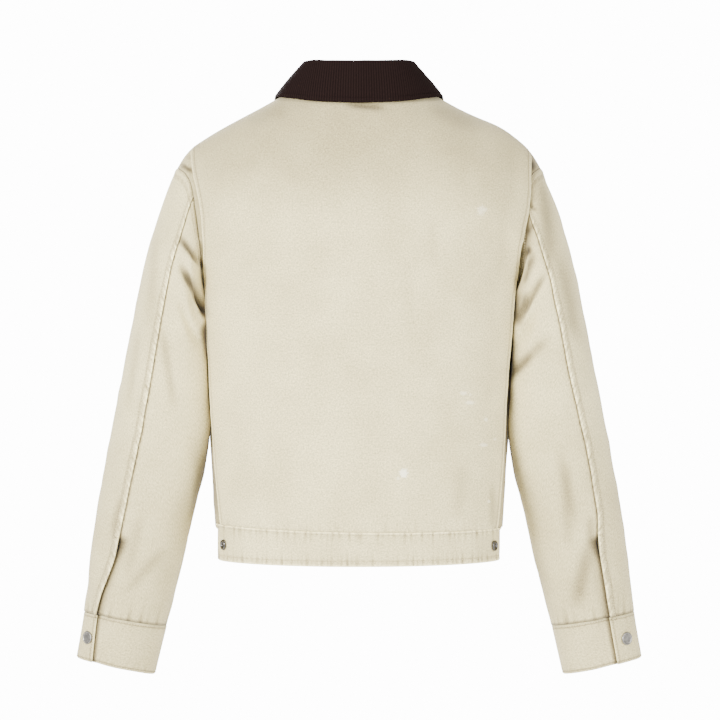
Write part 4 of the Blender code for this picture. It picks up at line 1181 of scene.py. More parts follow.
def make_stand(finish):
    size = bpy.context.scene.jacket_cloth
    coarse = []
    for level in (0.0, 0.5, 1.0):
        row = []
        for turn, hand in collar_columns():
            seam, _, away = collar_frame(turn, hand)
            rise = STAND_RISE + STAND_SIDE_RISE * math.sin(math.radians(turn)) ** 4
            foot = seam + Vector((0, 0, rise))
            row.append(tuple(foot.lerp(stand_top(turn, hand), level)) + tuple(away))
        coarse.append(row)
    fine = refine(np.array(coarse), *STAND_GRID)
    base, away = fine[..., :3], fine[..., 3:]
    run = travelled(base, 1)
    rib = 0.56 * size.wale_height * wales(run, size.wale_spacing) * ease((run[:, -1:] - run) / 0.003)
    return cloth_wall("collar_stand", base, base - away * (STAND + rib)[..., None], finish, "corduroy")


# ---- snaps and zip


CUFF_SNAP_ALONG = 0.5257
CUFF_SNAPS = (("left", 1, 42.0), ("right", -1, 50.0))
BAND_SNAPS = (("left", 1), ("right", -1))
BAND_SNAP_ACROSS = 0.1600
BAND_SNAP_V = -0.52
SNAP_LIFT = 0.0004
CAP = Table(
    ("order", "radius", "height"),
    (0, 0.00000, 0.00000), (1, 0.00700, 0.00000), (2, 0.00755, 0.00025), (3, 0.00780, 0.00080),
    (4, 0.00770, 0.00140), (5, 0.00725, 0.00190), (6, 0.00665, 0.00205), (7, 0.00620, 0.00190),
    (8, 0.00590, 0.00165), (9, 0.00540, 0.00158), (10, 0.00300, 0.00172), (11, 0.00000, 0.00178),
)  # fmt: skip
OPEN_RING = Table(
    ("order", "radius", "height"),
    (0, 0.00000, 0.00000), (1, 0.00520, 0.00000), (2, 0.00610, 0.00040), (3, 0.00630, 0.00110),
    (4, 0.00610, 0.00190), (5, 0.00550, 0.00245), (6, 0.00480, 0.00260), (7, 0.00410, 0.00240),
    (8, 0.00360, 0.00190), (9, 0.00330, 0.00100), (10, 0.00290, 0.00080), (11, 0.00140, 0.00085),
    (12, 0.00090, 0.00120), (13, 0.00000, 0.00125),
)  # fmt: skip


def turned_piece(node, profile, place, facing, finish, slot):
    """A round piece spun from its section and set on the cloth."""
    shape = bmesh.new()
    points = [shape.verts.new((r["radius"], 0, r["height"])) for r in profile.named()]
    for a, b in zip(points, points[1:]):
        shape.edges.new((a, b))
    bmesh.ops.spin(
        shape, geom=shape.verts[:] + shape.edges[:], axis=(0, 0, 1), cent=(0, 0, 0),
        steps=56, angle=math.tau, use_merge=True,
    )  # fmt: skip
    bmesh.ops.remove_doubles(shape, verts=shape.verts[:], dist=1e-6)
    bmesh.ops.recalc_face_normals(shape, faces=shape.faces[:])
    turn_outwards(shape)
    turn = facing.to_track_quat("Z", "Y").to_matrix().to_4x4()
    bmesh.ops.transform(shape, matrix=Matrix.Translation(place) @ turn, verts=shape.verts[:])
    return made_object(f"{node}_metal", shape, finish, "jacket", slot, node)


def make_snaps(cap_finish, ring_finish):
    made = []
    step = np.array([-1e-3, 0, 1e-3])
    for word, hand, turn in CUFF_SNAPS:
        grid = ring(CUFF_SNAP_ALONG + step[:, None], turn + 1000 * step[None, :])
        facing = facings(grid)[1, 1]
        facing = facing if facing[0] > 0 else -facing
        place, out = (Vector(mirrored(p, hand)) for p in (grid[1, 1] + facing * SNAP_LIFT, facing))
        made.append(turned_piece(f"cuff_snap_{word}", CAP, place, out, cap_finish, "nickel"))
    for word, hand in BAND_SNAPS:
        u = hand * float(u_at(BAND_SNAP_ACROSS, 0.0))
        grid = torso(1, u + step[None, :], BAND_SNAP_V + step[:, None])
        out = Vector(facings(grid, -1.0)[1, 1])
        place = Vector(grid[1, 1]) + out * (2 * SNAP_LIFT + GAP)
        made.append(turned_piece(f"band_snap_{word}", OPEN_RING, place, out, ring_finish, "dark_nickel"))
    return made


TAPE_WIDTH = 0.0140
TAPE_DROP = 0.0030
TAPE_CORD = 0.0004
SLIDER_CLEAR = 0.001
ZIP_TOP_V = 0.985
TOOTH = {"across": 0.0030, "along": 0.00115, "deep": 0.0012, "pitch": 0.0021, "offset": 0.0009,
         "bevel": 0.0002}  # fmt: skip


def tape_line(v):
    """The zip's line on the front, and its facing."""
    v = np.asarray(v, float)
    points = torso(-1, np.zeros_like(v), v)
    ahead, behind = torso(-1, 0 * v, v + 1e-3), torso(-1, 0 * v, v - 1e-3)
    run = ahead - behind
    facing = np.stack([0 * v, -run[..., 2], run[..., 1]], axis=-1)
    return points, facing / np.linalg.norm(facing, axis=-1, keepdims=True)


def make_tapes(finish):
    made = []
    (below, above), columns = TAPE_GRID
    under_band = np.linspace(-0.97, 0.0, below, endpoint=False)
    rows = np.concatenate([under_band, np.linspace(0.0, ZIP_TOP_V, above)])
    for word, hand in (("left", 1), ("right", -1)):
        across = np.linspace(GAP / 2, TAPE_WIDTH, columns)
        across = across if hand > 0 else -across[::-1]
        v = rows[:, None] * np.ones_like(across)
        u = np.sign(across) * u_at(np.abs(across) * np.ones_like(v), np.maximum(v, 0.0))
        base = torso(-1, u, v)
        base[..., 0] = across
        facing = tape_line(rows)[1][:, None, :]
        cord = TAPE_CORD * near(np.abs(across), 0.0016, 0.0009) * np.ones_like(v)
        outer = base - facing * (TAPE_DROP - cord)[..., None]
        inner = base - facing * (TAPE_DROP + TAPE)
        made.append(cloth_wall(f"zip_tape_{word}", outer, inner, finish, "zip_tape"))
    return made


def tooth_shape():
    shape = bmesh.new()
    bmesh.ops.create_cube(shape, size=1.0)
    bmesh.ops.scale(shape, vec=(TOOTH["along"], TOOTH["across"], TOOTH["deep"]), verts=shape.verts[:])
    bmesh.ops.bevel(shape, geom=shape.edges[:], offset=TOOTH["bevel"], segments=1, profile=0.5,
                    affect="EDGES", material=-1)  # fmt: skip
    mesh = bpy.data.meshes.new("one_tooth")
    shape.to_mesh(mesh)
    shape.free()
    return mesh


def make_zip(tape_finish, metal):
    made = make_tapes(tape_finish)
    line, facing = tape_line(np.linspace(-0.94, ZIP_TOP_V, 1200))
    line = line - facing * (TAPE_DROP - TOOTH["deep"] / 2)
    low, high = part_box("zip_slider")
    matrices = []
    for number, (place, run, up) in enumerate(zip(*evenly(line, facing, TOOTH["pitch"] / 2))):
        if low[2] - SLIDER_CLEAR < place[2] < high[2] + SLIDER_CLEAR:
            continue
        shift = TOOTH["offset"] * (1 if number % 2 else -1)
        matrices.append(upright(place + np.array([shift, 0, 0]), run, up))
    shape, tooth = bmesh.new(), tooth_shape()
    scattered(shape, tooth, matrices)
    bpy.data.meshes.remove(tooth)
    made.append(made_object("zip_teeth", shape, metal, "jacket", "dark_nickel", smooth=False))
    for node in ("zip_slider", "zip_pull"):
        bpy.data.objects[node].material_slots[0].material = metal
    return made


# ---- stitches


UPPER_SLEEVES, UNDER_SLEEVES, CUFFS = (
    tuple(f"{stem}_{word}" for word in ("left", "right")) for stem in ("sleeve_upper", "sleeve_under", "cuff")
)
STITCH_LINES = (
    # pieces, edge, distance from it in metres, start and end along it
    (("back_centre",), "first", FOLD_STITCH, 0.0, 0.995),
    (("back_centre",), "last", FOLD_STITCH, 0.0, 0.995),
    (tuple(BAND_COLUMNS), "high", BAND_STITCH, 0.0, 1.0),
    (tuple(BAND_COLUMNS), "low", BAND_LOW_STITCH, 0.0, 1.0),
    (("front_left",), "first", FRONT_STITCH, 0.0, 1.0),
    (("front_right",), "last", FRONT_STITCH, 0.0, 1.0),
    (UPPER_SLEEVES, "last", SEAM_STITCH, 0.01, 1.0),
    (UPPER_SLEEVES, "last", SEAM_OUTER_STITCH, 0.01, 1.0),
    (UPPER_SLEEVES + UNDER_SLEEVES, "low", ARMHOLE_STITCH, 0.0, 1.0),
    (UPPER_SLEEVES + UNDER_SLEEVES, "low", ARMHOLE_OUTER_STITCH, 0.0, 1.0),
    (CUFFS, "low", CUFF_STITCH, 0.008, 0.90),
    (CUFFS, "high", CUFF_STITCH, 0.008, 0.90),
    (CUFFS, "first", CUFF_STITCH, 0.06, 0.94),
    (("collar_fall",), "high", COLLAR_STITCH, 0.008, 0.992),
)
THREAD_RADIUS = 0.00030
STITCH_PITCH = 1.22
BARTACK = {"from_edge": 0.0006, "to": 0.0074, "threads": 11, "down": 0.965}


def make_stitches(thread, dark_thread):
    length = bpy.context.scene.jacket_cloth.stitch_length
    groups = {}
    for names, edge, distance, start, end in STITCH_LINES:
        lines = [Surface.kept[name].line(edge, distance, start, end) for name in names]
        groups.setdefault(names[0].split("_")[0], []).extend(lines)
    made = []
    one = stitch_shape(length, THREAD_RADIUS)
    for group, lines in groups.items():
        shape = bmesh.new()
        for line, up in lines:
            laid = zip(*evenly(line, up, length * STITCH_PITCH))
            matrices = [upright(place + up * THREAD_RADIUS * 0.35, run, up) for place, run, up in laid]
            scattered(shape, one, matrices)
        if group == "sleeve":
            add_bartacks(shape, one)
        finish, slot = (dark_thread, "corduroy") if group == "collar" else (thread, "canvas")
        made.append(made_object(f"stitches_{group}", shape, finish, "jacket", slot))
    bpy.data.meshes.remove(one)
    return made


def add_bartacks(shape, one):
    """A dense bar of thread across the top of each sleeve slit."""
    for name in UPPER_SLEEVES:
        points, facing = Surface.kept[name].points, Surface.kept[name].facing
        length = travelled(points[:, -1:], 0)[:, 0]
        row = int(np.argmin(np.abs(length - length[-1] + (CUFF_TOP - SLIT_TOP) * BARTACK["down"])))
        beside = travelled(points[row : row + 1], 1)[0]
        at = np.linspace(BARTACK["from_edge"], BARTACK["to"], BARTACK["threads"])
        picked = [int(np.argmin(np.abs(beside[-1] - beside - distance))) for distance in at]
        run = points[row + 1, -8] - points[row, -8]
        matrices = [
            upright(points[row, k] + facing[row, k] * THREAD_RADIUS, run, facing[row, k]) for k in picked
        ]
        scattered(shape, one, matrices)


# ---- finishes


def new_group(name, inputs, outputs):
    group = bpy.data.node_groups.new(name, "ShaderNodeTree")
    for word, kind, default in inputs:
        socket = group.interface.new_socket(name=word, in_out="INPUT", socket_type=kind)
        if default is not None:
            socket.default_value = default
    for word, kind in outputs:
        group.interface.new_socket(name=word, in_out="OUTPUT", socket_type=kind)
    return group, group.nodes.new("NodeGroupInput"), group.nodes.new("NodeGroupOutput")


def math_node(tree, operation, *values):
    node = tree.nodes.new("ShaderNodeMath")
    node.operation = operation
    for socket, value in zip(node.inputs, values):
        if isinstance(value, (int, float)):
            socket.default_value = value
        else:
            tree.links.new(value, socket)
    return node.outputs[0]


def times(tree, first, second):
    return math_node(tree, "MULTIPLY", first, second)


def plus(tree, first, second):
    return math_node(tree, "ADD", first, second)


def weave_lay(tree):
    """The cloth's own lay: metres across the weave and along it."""
    node = tree.nodes.new("ShaderNodeAttribute")
    node.attribute_name = "weave"
    return node.outputs["Vector"]


def parts_of(tree, vector):
    node = tree.nodes.new("ShaderNodeSeparateXYZ")
    tree.links.new(vector, node.inputs[0])
    return node.outputs


def mixed(tree, blend, factor, first, second):
    node = tree.nodes.new("ShaderNodeMix")
    node.data_type = "RGBA"
    node.blend_type = blend
    for number, value in ((0, factor), (6, first), (7, second)):
        if isinstance(value, (int, float, tuple)):
            node.inputs[number].default_value = value
        else:
            tree.links.new(value, node.inputs[number])
    return node.outputs[2]


def noise(tree, vector, scale, detail=2.0, roughness=0.5, stretch=None):
    if stretch is not None:
        mapping = tree.nodes.new("ShaderNodeMapping")
        mapping.inputs["Scale"].default_value = stretch
        tree.links.new(vector, mapping.inputs["Vector"])
        vector = mapping.outputs[0]
    node = tree.nodes.new("ShaderNodeTexNoise")
    node.inputs["Scale"].default_value = scale
    node.inputs["Detail"].default_value = detail
    node.inputs["Roughness"].default_value = roughness
    tree.links.new(vector, node.inputs["Vector"])
    return node.outputs[0]


def spread(tree, value, low, high, start=0.0, end=1.0):
    node = tree.nodes.new("ShaderNodeMapRange")
    for socket, number in zip(node.inputs[1:5], (low, high, start, end)):
        socket.default_value = number
    tree.links.new(value, node.inputs[0])
    return node.outputs[0]


def twill_group():
    """Twill weave on the cloth's own lay: its height, a mottled shade and a cloudy one, 0 to 1."""
    group, given, out = new_group(
        "twill weave",
        [("Lay", "NodeSocketVector", None), ("Place", "NodeSocketVector", None)],
        [("Height", "NodeSocketFloat"), ("Mottle", "NodeSocketFloat"), ("Cloud", "NodeSocketFloat")],
    )
    lay = given.outputs["Lay"]
    x, y, _ = parts_of(group, lay)
    slub = noise(group, lay, 900.0, 2.0, 0.6, (0.35, 1.0, 1.0))
    slub_up = noise(group, lay, 900.0, 2.0, 0.6, (1.0, 0.30, 1.0))
    bent = plus(group, plus(group, x, y), times(group, slub, 0.0012))
    rib = spread(group, math_node(group, "SINE", times(group, bent, math.tau / TWILL_SPACING)), -1.0, 1.0)
    weft = spread(group, math_node(group, "SINE", times(group, y, math.tau / WEFT_SPACING)), -1.0, 1.0)
    threads = plus(group, times(group, weft, 0.20), times(group, slub_up, 0.45))
    group.links.new(plus(group, times(group, rib, 0.55), threads), out.inputs["Height"])
    fine = noise(group, lay, 520.0, 3.0, 0.75)
    grain = plus(group, times(group, fine, 0.62), times(group, plus(group, slub, slub_up), 0.19))
    mottle = plus(group, grain, times(group, rib, 0.08))
    group.links.new(spread(group, mottle, 0.36, 0.72), out.inputs["Mottle"])
    cloud = noise(group, given.outputs["Place"], 16.0, 4.0, 0.6)
    group.links.new(spread(group, cloud, 0.35, 0.65), out.inputs["Cloud"])
    return group


def speck_group():
    """A pale speck on the back: 1 inside an uneven oval round (Across, Up), 0 outside it."""
    group, given, out = new_group(
        "pale speck",
        [(word, "NodeSocketFloat", 0.0) for word in ("Across", "Up", "Wide", "Tall")]
        + [("Place", "NodeSocketVector", None)],
        [("Mask", "NodeSocketFloat")],
    )
    x, _, z = parts_of(group, given.outputs["Place"])
    rough = spread(group, noise(group, given.outputs["Place"], 620.0, 3.0, 0.7), 0.3, 0.7, -0.7, 0.7)
    squares = []
    for at, middle, size in ((x, "Across", "Wide"), (z, "Up", "Tall")):
        off = math_node(group, "SUBTRACT", at, given.outputs[middle])
        off = math_node(group, "DIVIDE", off, given.outputs[size])
        squares.append(times(group, off, off))
    reach = plus(group, math_node(group, "SQRT", plus(group, *squares)), rough)
    group.links.new(spread(group, reach, 0.75, 1.25, 1.0, 0.0), out.inputs["Mask"])
    return group


# Pale specks on the back, in pixels of the photograph's frame: middle, half sizes and strength.
SPECKS = (
    (481.5, 210.0, 3.2, 4.2, 0.45),
    (485.8, 209.0, 2.0, 2.0, 0.35),
    (463.6, 393.4, 3.4, 1.8, 0.55),
    (470.6, 394.7, 1.3, 1.2, 0.40),
    (470.5, 403.0, 4.2, 1.8, 0.60),
    (486.9, 420.2, 1.8, 1.6, 0.60),
    (484.0, 445.7, 3.8, 1.5, 0.60),
    (403.8, 473.2, 3.8, 4.0, 1.00),
    (398.0, 478.5, 1.5, 1.4, 0.50),
    (489.9, 503.0, 1.5, 1.3, 0.50),
    (496.3, 440.4, 1.4, 1.3, 0.40),
)


SPECK_COLOUR = (0.95, 0.89, 0.66, 1.0)
BACK_DEPTH = 0.11
# what is left of the canvas's red, green and blue where the painted shade and wear is 1
LEAST_SHADE = (0.040, 0.033, 0.026)
TWILL_SPACING = 0.00150
WEFT_SPACING = 0.00062
TAPE_WEFT_SPACING = 0.0009


def new_finish(name, rough, metallic=0.0, sheen=0.0):
    made = bpy.data.materials.new(name)
    made.use_nodes = True
    shader = made.node_tree.nodes["Principled BSDF"]
    shader.inputs["Roughness"].default_value = rough
    shader.inputs["Metallic"].default_value = metallic
    shader.inputs["Specular IOR Level"].default_value = 0.5 if metallic else 0.25
    shader.inputs["Sheen Weight"].default_value = sheen
    shader.inputs["Sheen Roughness"].default_value = 0.5
    return made, made.node_tree, shader


def bump(tree, shader, height, strength, distance):
    node = tree.nodes.new("ShaderNodeBump")
    node.inputs["Strength"].default_value = strength
    node.inputs["Distance"].default_value = distance
    tree.links.new(height, node.inputs["Height"])
    tree.links.new(node.outputs[0], shader.inputs["Normal"])


def shade_of(colour, by):
    return tuple(min(1.0, c * by) for c in colour[:3]) + (1.0,)


def placed_group(tree, name, make, **given):
    """A node group in a material, made the first time, with values or links for its inputs."""
    node = tree.nodes.new("ShaderNodeGroup")
    node.node_tree = bpy.data.node_groups.get(name) or make()
    for word, value in given.items():
        if isinstance(value, float):
            node.inputs[word].default_value = value
        else:
            tree.links.new(value, node.inputs[word])
    return node.outputs


def with_painted_shade_and_wear(tree, shown):
    """A colour darkened by the cloth's painted shade and wear: 0 leaves it and 1 takes it down to the least,
    while below 0 a painted highlight lightens it.
    """
    painted_shade_and_wear = tree.nodes.new("ShaderNodeAttribute")
    painted_shade_and_wear.attribute_name = "painted_shade_and_wear"
    dulled = tree.nodes.new("ShaderNodeCombineColor")
    for socket, least in zip(dulled.inputs, LEAST_SHADE):
        tree.links.new(math_node(tree, "POWER", least, painted_shade_and_wear.outputs["Fac"]), socket)
    return mixed(tree, "MULTIPLY", 1.0, shown, dulled.outputs[0])


def with_speck(tree, shown, place, speck):
    """A colour with one pale speck over it, put where the camera sees it on the back."""
    across, down, wide, tall, strength = speck
    nearer = VIEW_DISTANCE / (VIEW_DISTANCE - BACK_DEPTH)
    mask = placed_group(
        tree, "pale speck", speck_group, Place=place,
        Across=VIEW_X + ((ORIGIN_ACROSS - across) * PIXEL - VIEW_X) / nearer,
        Up=VIEW_Z + ((ORIGIN_DOWN - down) * PIXEL - VIEW_Z) / nearer,
        Wide=wide * PIXEL, Tall=tall * PIXEL,
    )["Mask"]  # fmt: skip
    return mixed(tree, "MIX", times(tree, mask, strength), shown, SPECK_COLOUR)


def canvas_finish(name, colour, specks=()):
    made, tree, shader = new_finish(name, 0.88, sheen=0.15)
    place = tree.nodes.new("ShaderNodeTexCoord").outputs["Object"]
    weave = placed_group(tree, "twill weave", twill_group, Lay=weave_lay(tree), Place=place)
    grain = mixed(tree, "MIX", weave["Mottle"], shade_of(colour, 0.42), shade_of(colour, 1.28))
    clouded = mixed(tree, "MIX", weave["Cloud"], (0.90, 0.89, 0.87, 1), (1.04, 1.04, 1.04, 1))
    shown = with_painted_shade_and_wear(tree, mixed(tree, "MULTIPLY", 1.0, grain, clouded))
    for speck in specks:
        shown = with_speck(tree, shown, place, speck)
    tree.links.new(shown, shader.inputs["Base Color"])
    tree.links.new(spread(tree, weave["Mottle"], 0.0, 1.0, 0.94, 0.82), shader.inputs["Roughness"])
    bump(tree, shader, weave["Height"], 0.55, 0.00030)
    return made


def corduroy_finish(name, colour, spacing):
    made, tree, shader = new_finish(name, 0.90, sheen=0.10)
    shader.inputs["Sheen Tint"].default_value = shade_of(colour, 9.0)
    shader.inputs["Specular IOR Level"].default_value = 0.04
    lay = weave_lay(tree)
    at = times(tree, parts_of(tree, lay)[0], math.pi / spacing)
    rib = math_node(tree, "ABSOLUTE", math_node(tree, "SINE", at))
    pile = noise(tree, lay, 1500.0, 2.0, 0.6, (1.0, 0.25, 1.0))
    # painted shade in the grooves between the ribs and a painted highlight on the ribs
    shown = mixed(tree, "MIX", spread(tree, rib, 0.15, 1.0), shade_of(colour, 0.55), shade_of(colour, 1.35))
    tufted = mixed(tree, "MIX", spread(tree, pile, 0.3, 0.7), (0.75, 0.75, 0.75, 1), (1.2, 1.2, 1.2, 1))
    tree.links.new(mixed(tree, "MULTIPLY", 1.0, shown, tufted), shader.inputs["Base Color"])
    tree.links.new(spread(tree, pile, 0.0, 1.0, 0.80, 0.98), shader.inputs["Roughness"])
    bump(tree, shader, pile, 0.6, 0.0004)
    return made


def metal_finish(name, colour, rough, scale):
    made, tree, shader = new_finish(name, rough, metallic=1.0)
    place = tree.nodes.new("ShaderNodeTexCoord").outputs["Object"]
    # the metal's own patchy wear
    painted_shade_and_wear = noise(tree, place, scale, 4.0, 0.65)
    fine = noise(tree, place, scale * 9, 2.0, 0.6)
    shown = mixed(tree, "MIX", spread(tree, painted_shade_and_wear, 0.35, 0.65), shade_of(colour, 0.78), shade_of(colour, 1.12))
    tree.links.new(shown, shader.inputs["Base Color"])
    tree.links.new(spread(tree, painted_shade_and_wear, 0.3, 0.7, rough - 0.07, rough + 0.12), shader.inputs["Roughness"])
    bump(tree, shader, fine, 0.25, 0.0001)
    return made


def thread_finish(name, colour, sheen=0.2):
    made, tree, shader = new_finish(name, 0.75, sheen=sheen)
    shader.inputs["Specular IOR Level"].default_value = 0.5 if sheen else 0.04
    place = tree.nodes.new("ShaderNodeTexCoord").outputs["Object"]
    strands = noise(tree, place, 2600.0, 2.0, 0.5)
    lit = spread(tree, strands, 0.3, 0.7)
    shown = mixed(tree, "MIX", lit, shade_of(colour, 0.82), shade_of(colour, 1.10))
    tree.links.new(shown, shader.inputs["Base Color"])
    bump(tree, shader, strands, 0.5, 0.0002)
    return made


def tape_finish(name, colour):
    made, tree, shader = new_finish(name, 0.85, sheen=0.1)
    up = parts_of(tree, weave_lay(tree))[1]
    rows = spread(tree, math_node(tree, "SINE", times(tree, up, math.tau / TAPE_WEFT_SPACING)), -1.0, 1.0)
    shown = mixed(tree, "MIX", rows, shade_of(colour, 0.80), shade_of(colour, 1.08))
    tree.links.new(shown, shader.inputs["Base Color"])
    bump(tree, shader, rows, 0.6, 0.0002)
    return made


def finish_named(name):
    """The finish of this name, made the first time that it is asked for."""
    made = bpy.data.materials.get(name)
    if made is not None:
        return made
    looks, cloth = bpy.context.scene.jacket_looks, bpy.context.scene.jacket_cloth
    canvas, brown = tuple(looks.canvas) + (1.0,), tuple(looks.corduroy) + (1.0,)
    makers = {
        "canvas cloth": lambda: canvas_finish(name, canvas),
        "canvas cloth with specks": lambda: canvas_finish(name, canvas, SPECKS),
        "brown corduroy": lambda: corduroy_finish(name, brown, cloth.wale_spacing),
        "canvas thread": lambda: thread_finish(name, tuple(looks.thread) + (1.0,)),
        "brown thread": lambda: thread_finish(name, shade_of(brown, 0.7), 0.0),
        "satin nickel": lambda: metal_finish(name, (0.245, 0.231, 0.209, 1.0), 0.36, 320.0),
        "dark nickel": lambda: metal_finish(name, (0.110, 0.105, 0.100, 1.0), 0.24, 420.0),
        "cotton tape": lambda: tape_finish(name, shade_of(canvas, 0.85)),
    }
    return makers[name]()


# ---- stage


FLOOR = {"radius": 2.2, "height": -1.05}
SEEN_WHITE = (14.0, 14.0, 14.0, 1.0)
LIT_POINT = (0.0, 0.0, -0.3)
SENSOR = 36.0
PICTURE = 720
LAMPS = (
    # name, place, size, share of the main lamp's power
    ("key", (3.0, 3.2, 0.5), 1.4, 1.00),
    ("fill", (-3.0, 3.0, -0.2), 2.2, 0.50),
    ("top", (0.0, 1.2, 2.6), 1.6, 0.10),
    ("front", (0.6, -3.4, 0.8), 2.4, 0.80),
)


def add_floor():
    shape = bmesh.new()
    bmesh.ops.create_circle(shape, cap_ends=True, segments=96, radius=FLOOR["radius"])
    bmesh.ops.translate(shape, vec=(0, 0, FLOOR["height"]), verts=shape.verts[:])
    mesh = bpy.data.meshes.new("floor")
    shape.to_mesh(mesh)
    shape.free()
    floor, _, shader = new_finish("pale floor", 0.9)
    shader.inputs["Base Color"].default_value = (0.86, 0.86, 0.86, 1.0)
    mesh.materials.append(floor)
    ground = bpy.data.objects.new("floor", mesh)
    bpy.context.scene.collection.objects.link(ground)


def add_surround(brightness):
    """Soft light from all round, with the plain white behind the jacket that the camera sees."""
    world = bpy.data.worlds.new("studio")
    world.use_nodes = True
    tree = world.node_tree
    back = tree.nodes["Background"]
    seen = tree.nodes.new("ShaderNodeLightPath").outputs["Is Camera Ray"]
    light = mixed(tree, "MIX", seen, (brightness,) * 3 + (1.0,), SEEN_WHITE)
    tree.links.new(light, back.inputs["Color"])
    back.inputs["Strength"].default_value = 1.0
    bpy.context.scene.world = world


def add_lamps(power):
    for name, place, size, share in LAMPS:
        light = bpy.data.lights.new(name, "AREA")
        light.shape = "DISK"
        light.size = size
        light.energy = power * share
        lamp = bpy.data.objects.new(name, light)
        lamp.location = place
        lamp.rotation_euler = (Vector(LIT_POINT) - Vector(place)).to_track_quat("-Z", "Y").to_euler()
        bpy.context.scene.collection.objects.link(lamp)


def add_camera():
    camera = bpy.data.cameras.new("camera")
    camera.sensor_width = SENSOR
    camera.lens = SENSOR * VIEW_DISTANCE / (PICTURE * PIXEL)
    camera.clip_end = 50.0
    eye = bpy.data.objects.new("camera", camera)
    eye.location = (VIEW_X, VIEW_DISTANCE, VIEW_Z)
    eye.rotation_euler = (math.radians(90), 0.0, math.radians(180))
    bpy.context.scene.collection.objects.link(eye)
    bpy.context.scene.camera = eye


# ---- the add-on


class JacketCloth(bpy.types.PropertyGroup):
    """Sizes of the cloth's detail."""

    wale_spacing: bpy.props.FloatProperty(
        name="Wale spacing", description="From rib to rib of the corduroy", default=0.0030,
        min=0.001, max=0.01, unit="LENGTH", precision=4,
    )  # fmt: skip
    wale_height: bpy.props.FloatProperty(
        name="Wale height", description="How far the corduroy's ribs stand up", default=0.00040,
        min=0.0, max=0.002, unit="LENGTH", precision=5,
    )  # fmt: skip
    stitch_length: bpy.props.FloatProperty(
        name="Stitch length", description="Length of one stitch", default=0.0027,
        min=0.001, max=0.01, unit="LENGTH", precision=4,
    )  # fmt: skip


class JacketLooks(bpy.types.PropertyGroup):
    """Colours and light."""

    canvas: bpy.props.FloatVectorProperty(
        name="Canvas", description="Colour of the undyed canvas", subtype="COLOR", size=3,
        default=(0.780, 0.680, 0.360), min=0.0, max=1.0,
    )  # fmt: skip
    corduroy: bpy.props.FloatVectorProperty(
        name="Corduroy", description="Colour of the collar", subtype="COLOR", size=3,
        default=(0.0075, 0.0038, 0.0033), min=0.0, max=1.0,
    )  # fmt: skip
    thread: bpy.props.FloatVectorProperty(
        name="Thread", description="Colour of the stitches on the canvas", subtype="COLOR", size=3,
        default=(0.740, 0.640, 0.360), min=0.0, max=1.0,
    )  # fmt: skip
    surround: bpy.props.FloatProperty(
        name="Surround", description="Brightness of the studio's walls", default=1.1, min=0.0, max=3.0,
    )  # fmt: skip
    lamp_power: bpy.props.FloatProperty(
        name="Lamp power", description="Power of the main lamp", default=450.0, min=0.0, subtype="POWER",
    )  # fmt: skip


class JacketOperator(bpy.types.Operator):
    """Makes one group of the jacket's pieces."""

    bl_idname = "jacket.pieces"
    bl_label = "Jacket pieces"
    finishes = ()

    def execute(self, context):
        made = self.make(*(finish_named(name) for name in self.finishes))
        if not made:
            raise RuntimeError(f"{self.bl_label}: nothing was made")
        return {"FINISHED"}


class JACKET_OT_back(JacketOperator):
    """Back centre panel with its two folded edges"""

    bl_idname = "jacket.back"
    bl_label = "Back"
    finishes = ("canvas cloth with specks",)
    make = staticmethod(make_back)


class JACKET_OT_back_sides(JacketOperator):
    """Strips below the two side folds of the back"""

    bl_idname = "jacket.back_sides"
    bl_label = "Back sides"
    finishes = ("canvas cloth",)
    make = staticmethod(make_back_sides)


class JACKET_OT_fronts(JacketOperator):
    """Plain fronts on both sides of the zip"""

    bl_idname = "jacket.fronts"
    bl_label = "Fronts"
    finishes = ("canvas cloth",)
    make = staticmethod(make_fronts)


class JACKET_OT_waistband(JacketOperator):
    """Waistband in three pieces"""

    bl_idname = "jacket.waistband"
    bl_label = "Waistband"
    finishes = ("canvas cloth",)
    make = staticmethod(make_waistband)


class JACKET_OT_sleeves(JacketOperator):
    """Upper and under sleeves with their puckered seams"""

    bl_idname = "jacket.sleeves"
    bl_label = "Sleeves"
    finishes = ("canvas cloth",)
    make = staticmethod(make_sleeves)


class JACKET_OT_cuffs(JacketOperator):
    """Band cuffs with overlapping ends"""

    bl_idname = "jacket.cuffs"
    bl_label = "Cuffs"
    finishes = ("canvas cloth",)
    make = staticmethod(make_cuffs)


class JACKET_OT_collar(JacketOperator):
    """Ribbed collar: stand and fall"""

    bl_idname = "jacket.collar"
    bl_label = "Collar"
    finishes = ("brown corduroy",)
    make = staticmethod(make_collar)


class JACKET_OT_snaps(JacketOperator):
    """Caps on the cuffs and open rings on the waistband"""

    bl_idname = "jacket.snaps"
    bl_label = "Snaps"
    finishes = ("satin nickel", "dark nickel")
    make = staticmethod(make_snaps)


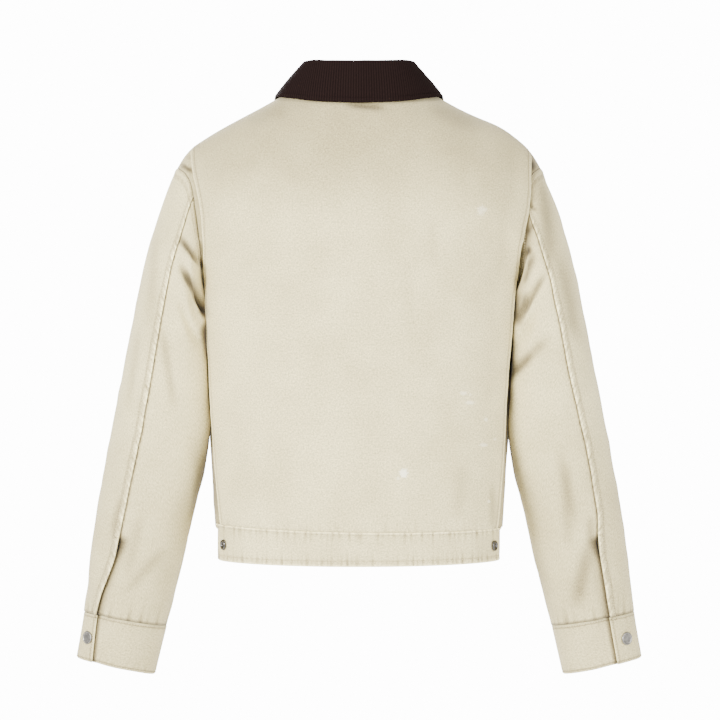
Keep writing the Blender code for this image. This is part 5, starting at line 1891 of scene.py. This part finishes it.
class JACKET_OT_zip(JacketOperator):
    """Centre front zip: tapes, teeth, slider and pull"""

    bl_idname = "jacket.zip"
    bl_label = "Zip"
    finishes = ("cotton tape", "dark nickel")
    make = staticmethod(make_zip)


class JACKET_OT_stitches(JacketOperator):
    """Rows of stitches and the bars of thread at the sleeve slits"""

    bl_idname = "jacket.stitches"
    bl_label = "Stitches"
    finishes = ("canvas thread", "brown thread")
    make = staticmethod(make_stitches)


class JACKET_OT_stage(bpy.types.Operator):
    """Floor, surround, lamps and camera"""

    bl_idname = "jacket.stage"
    bl_label = "Stage"

    def execute(self, context):
        looks = context.scene.jacket_looks
        add_floor()
        add_surround(looks.surround)
        add_lamps(looks.lamp_power)
        add_camera()
        return {"FINISHED"}


OPERATORS = (
    JACKET_OT_back, JACKET_OT_back_sides, JACKET_OT_fronts, JACKET_OT_waistband, JACKET_OT_sleeves,
    JACKET_OT_cuffs, JACKET_OT_collar, JACKET_OT_snaps, JACKET_OT_zip, JACKET_OT_stitches,
    JACKET_OT_stage,
)  # fmt: skip


class JACKET_PT_panel(bpy.types.Panel):
    """Lists the jacket's pieces, sizes and colours"""

    bl_idname = "JACKET_PT_panel"
    bl_label = "Jacket"
    bl_space_type = "VIEW_3D"
    bl_region_type = "UI"
    bl_category = "Jacket"

    def draw(self, context):
        for group in (context.scene.jacket_cloth, context.scene.jacket_looks):
            for name in group.__annotations__:
                self.layout.prop(group, name)
        for operator in OPERATORS:
            self.layout.operator(operator.bl_idname)


CLASSES = (JacketCloth, JacketLooks) + OPERATORS + (JACKET_PT_panel,)


def register():
    for each in CLASSES:
        bpy.utils.register_class(each)
    bpy.types.Scene.jacket_cloth = bpy.props.PointerProperty(type=JacketCloth)
    bpy.types.Scene.jacket_looks = bpy.props.PointerProperty(type=JacketLooks)


def unregister():
    del bpy.types.Scene.jacket_looks
    del bpy.types.Scene.jacket_cloth
    for each in reversed(CLASSES):
        bpy.utils.unregister_class(each)


def main():
    register()
    for operator in OPERATORS:
        group, name = operator.bl_idname.split(".")
        getattr(getattr(bpy.ops, group), name)()


if __name__ == "__main__":
    main()
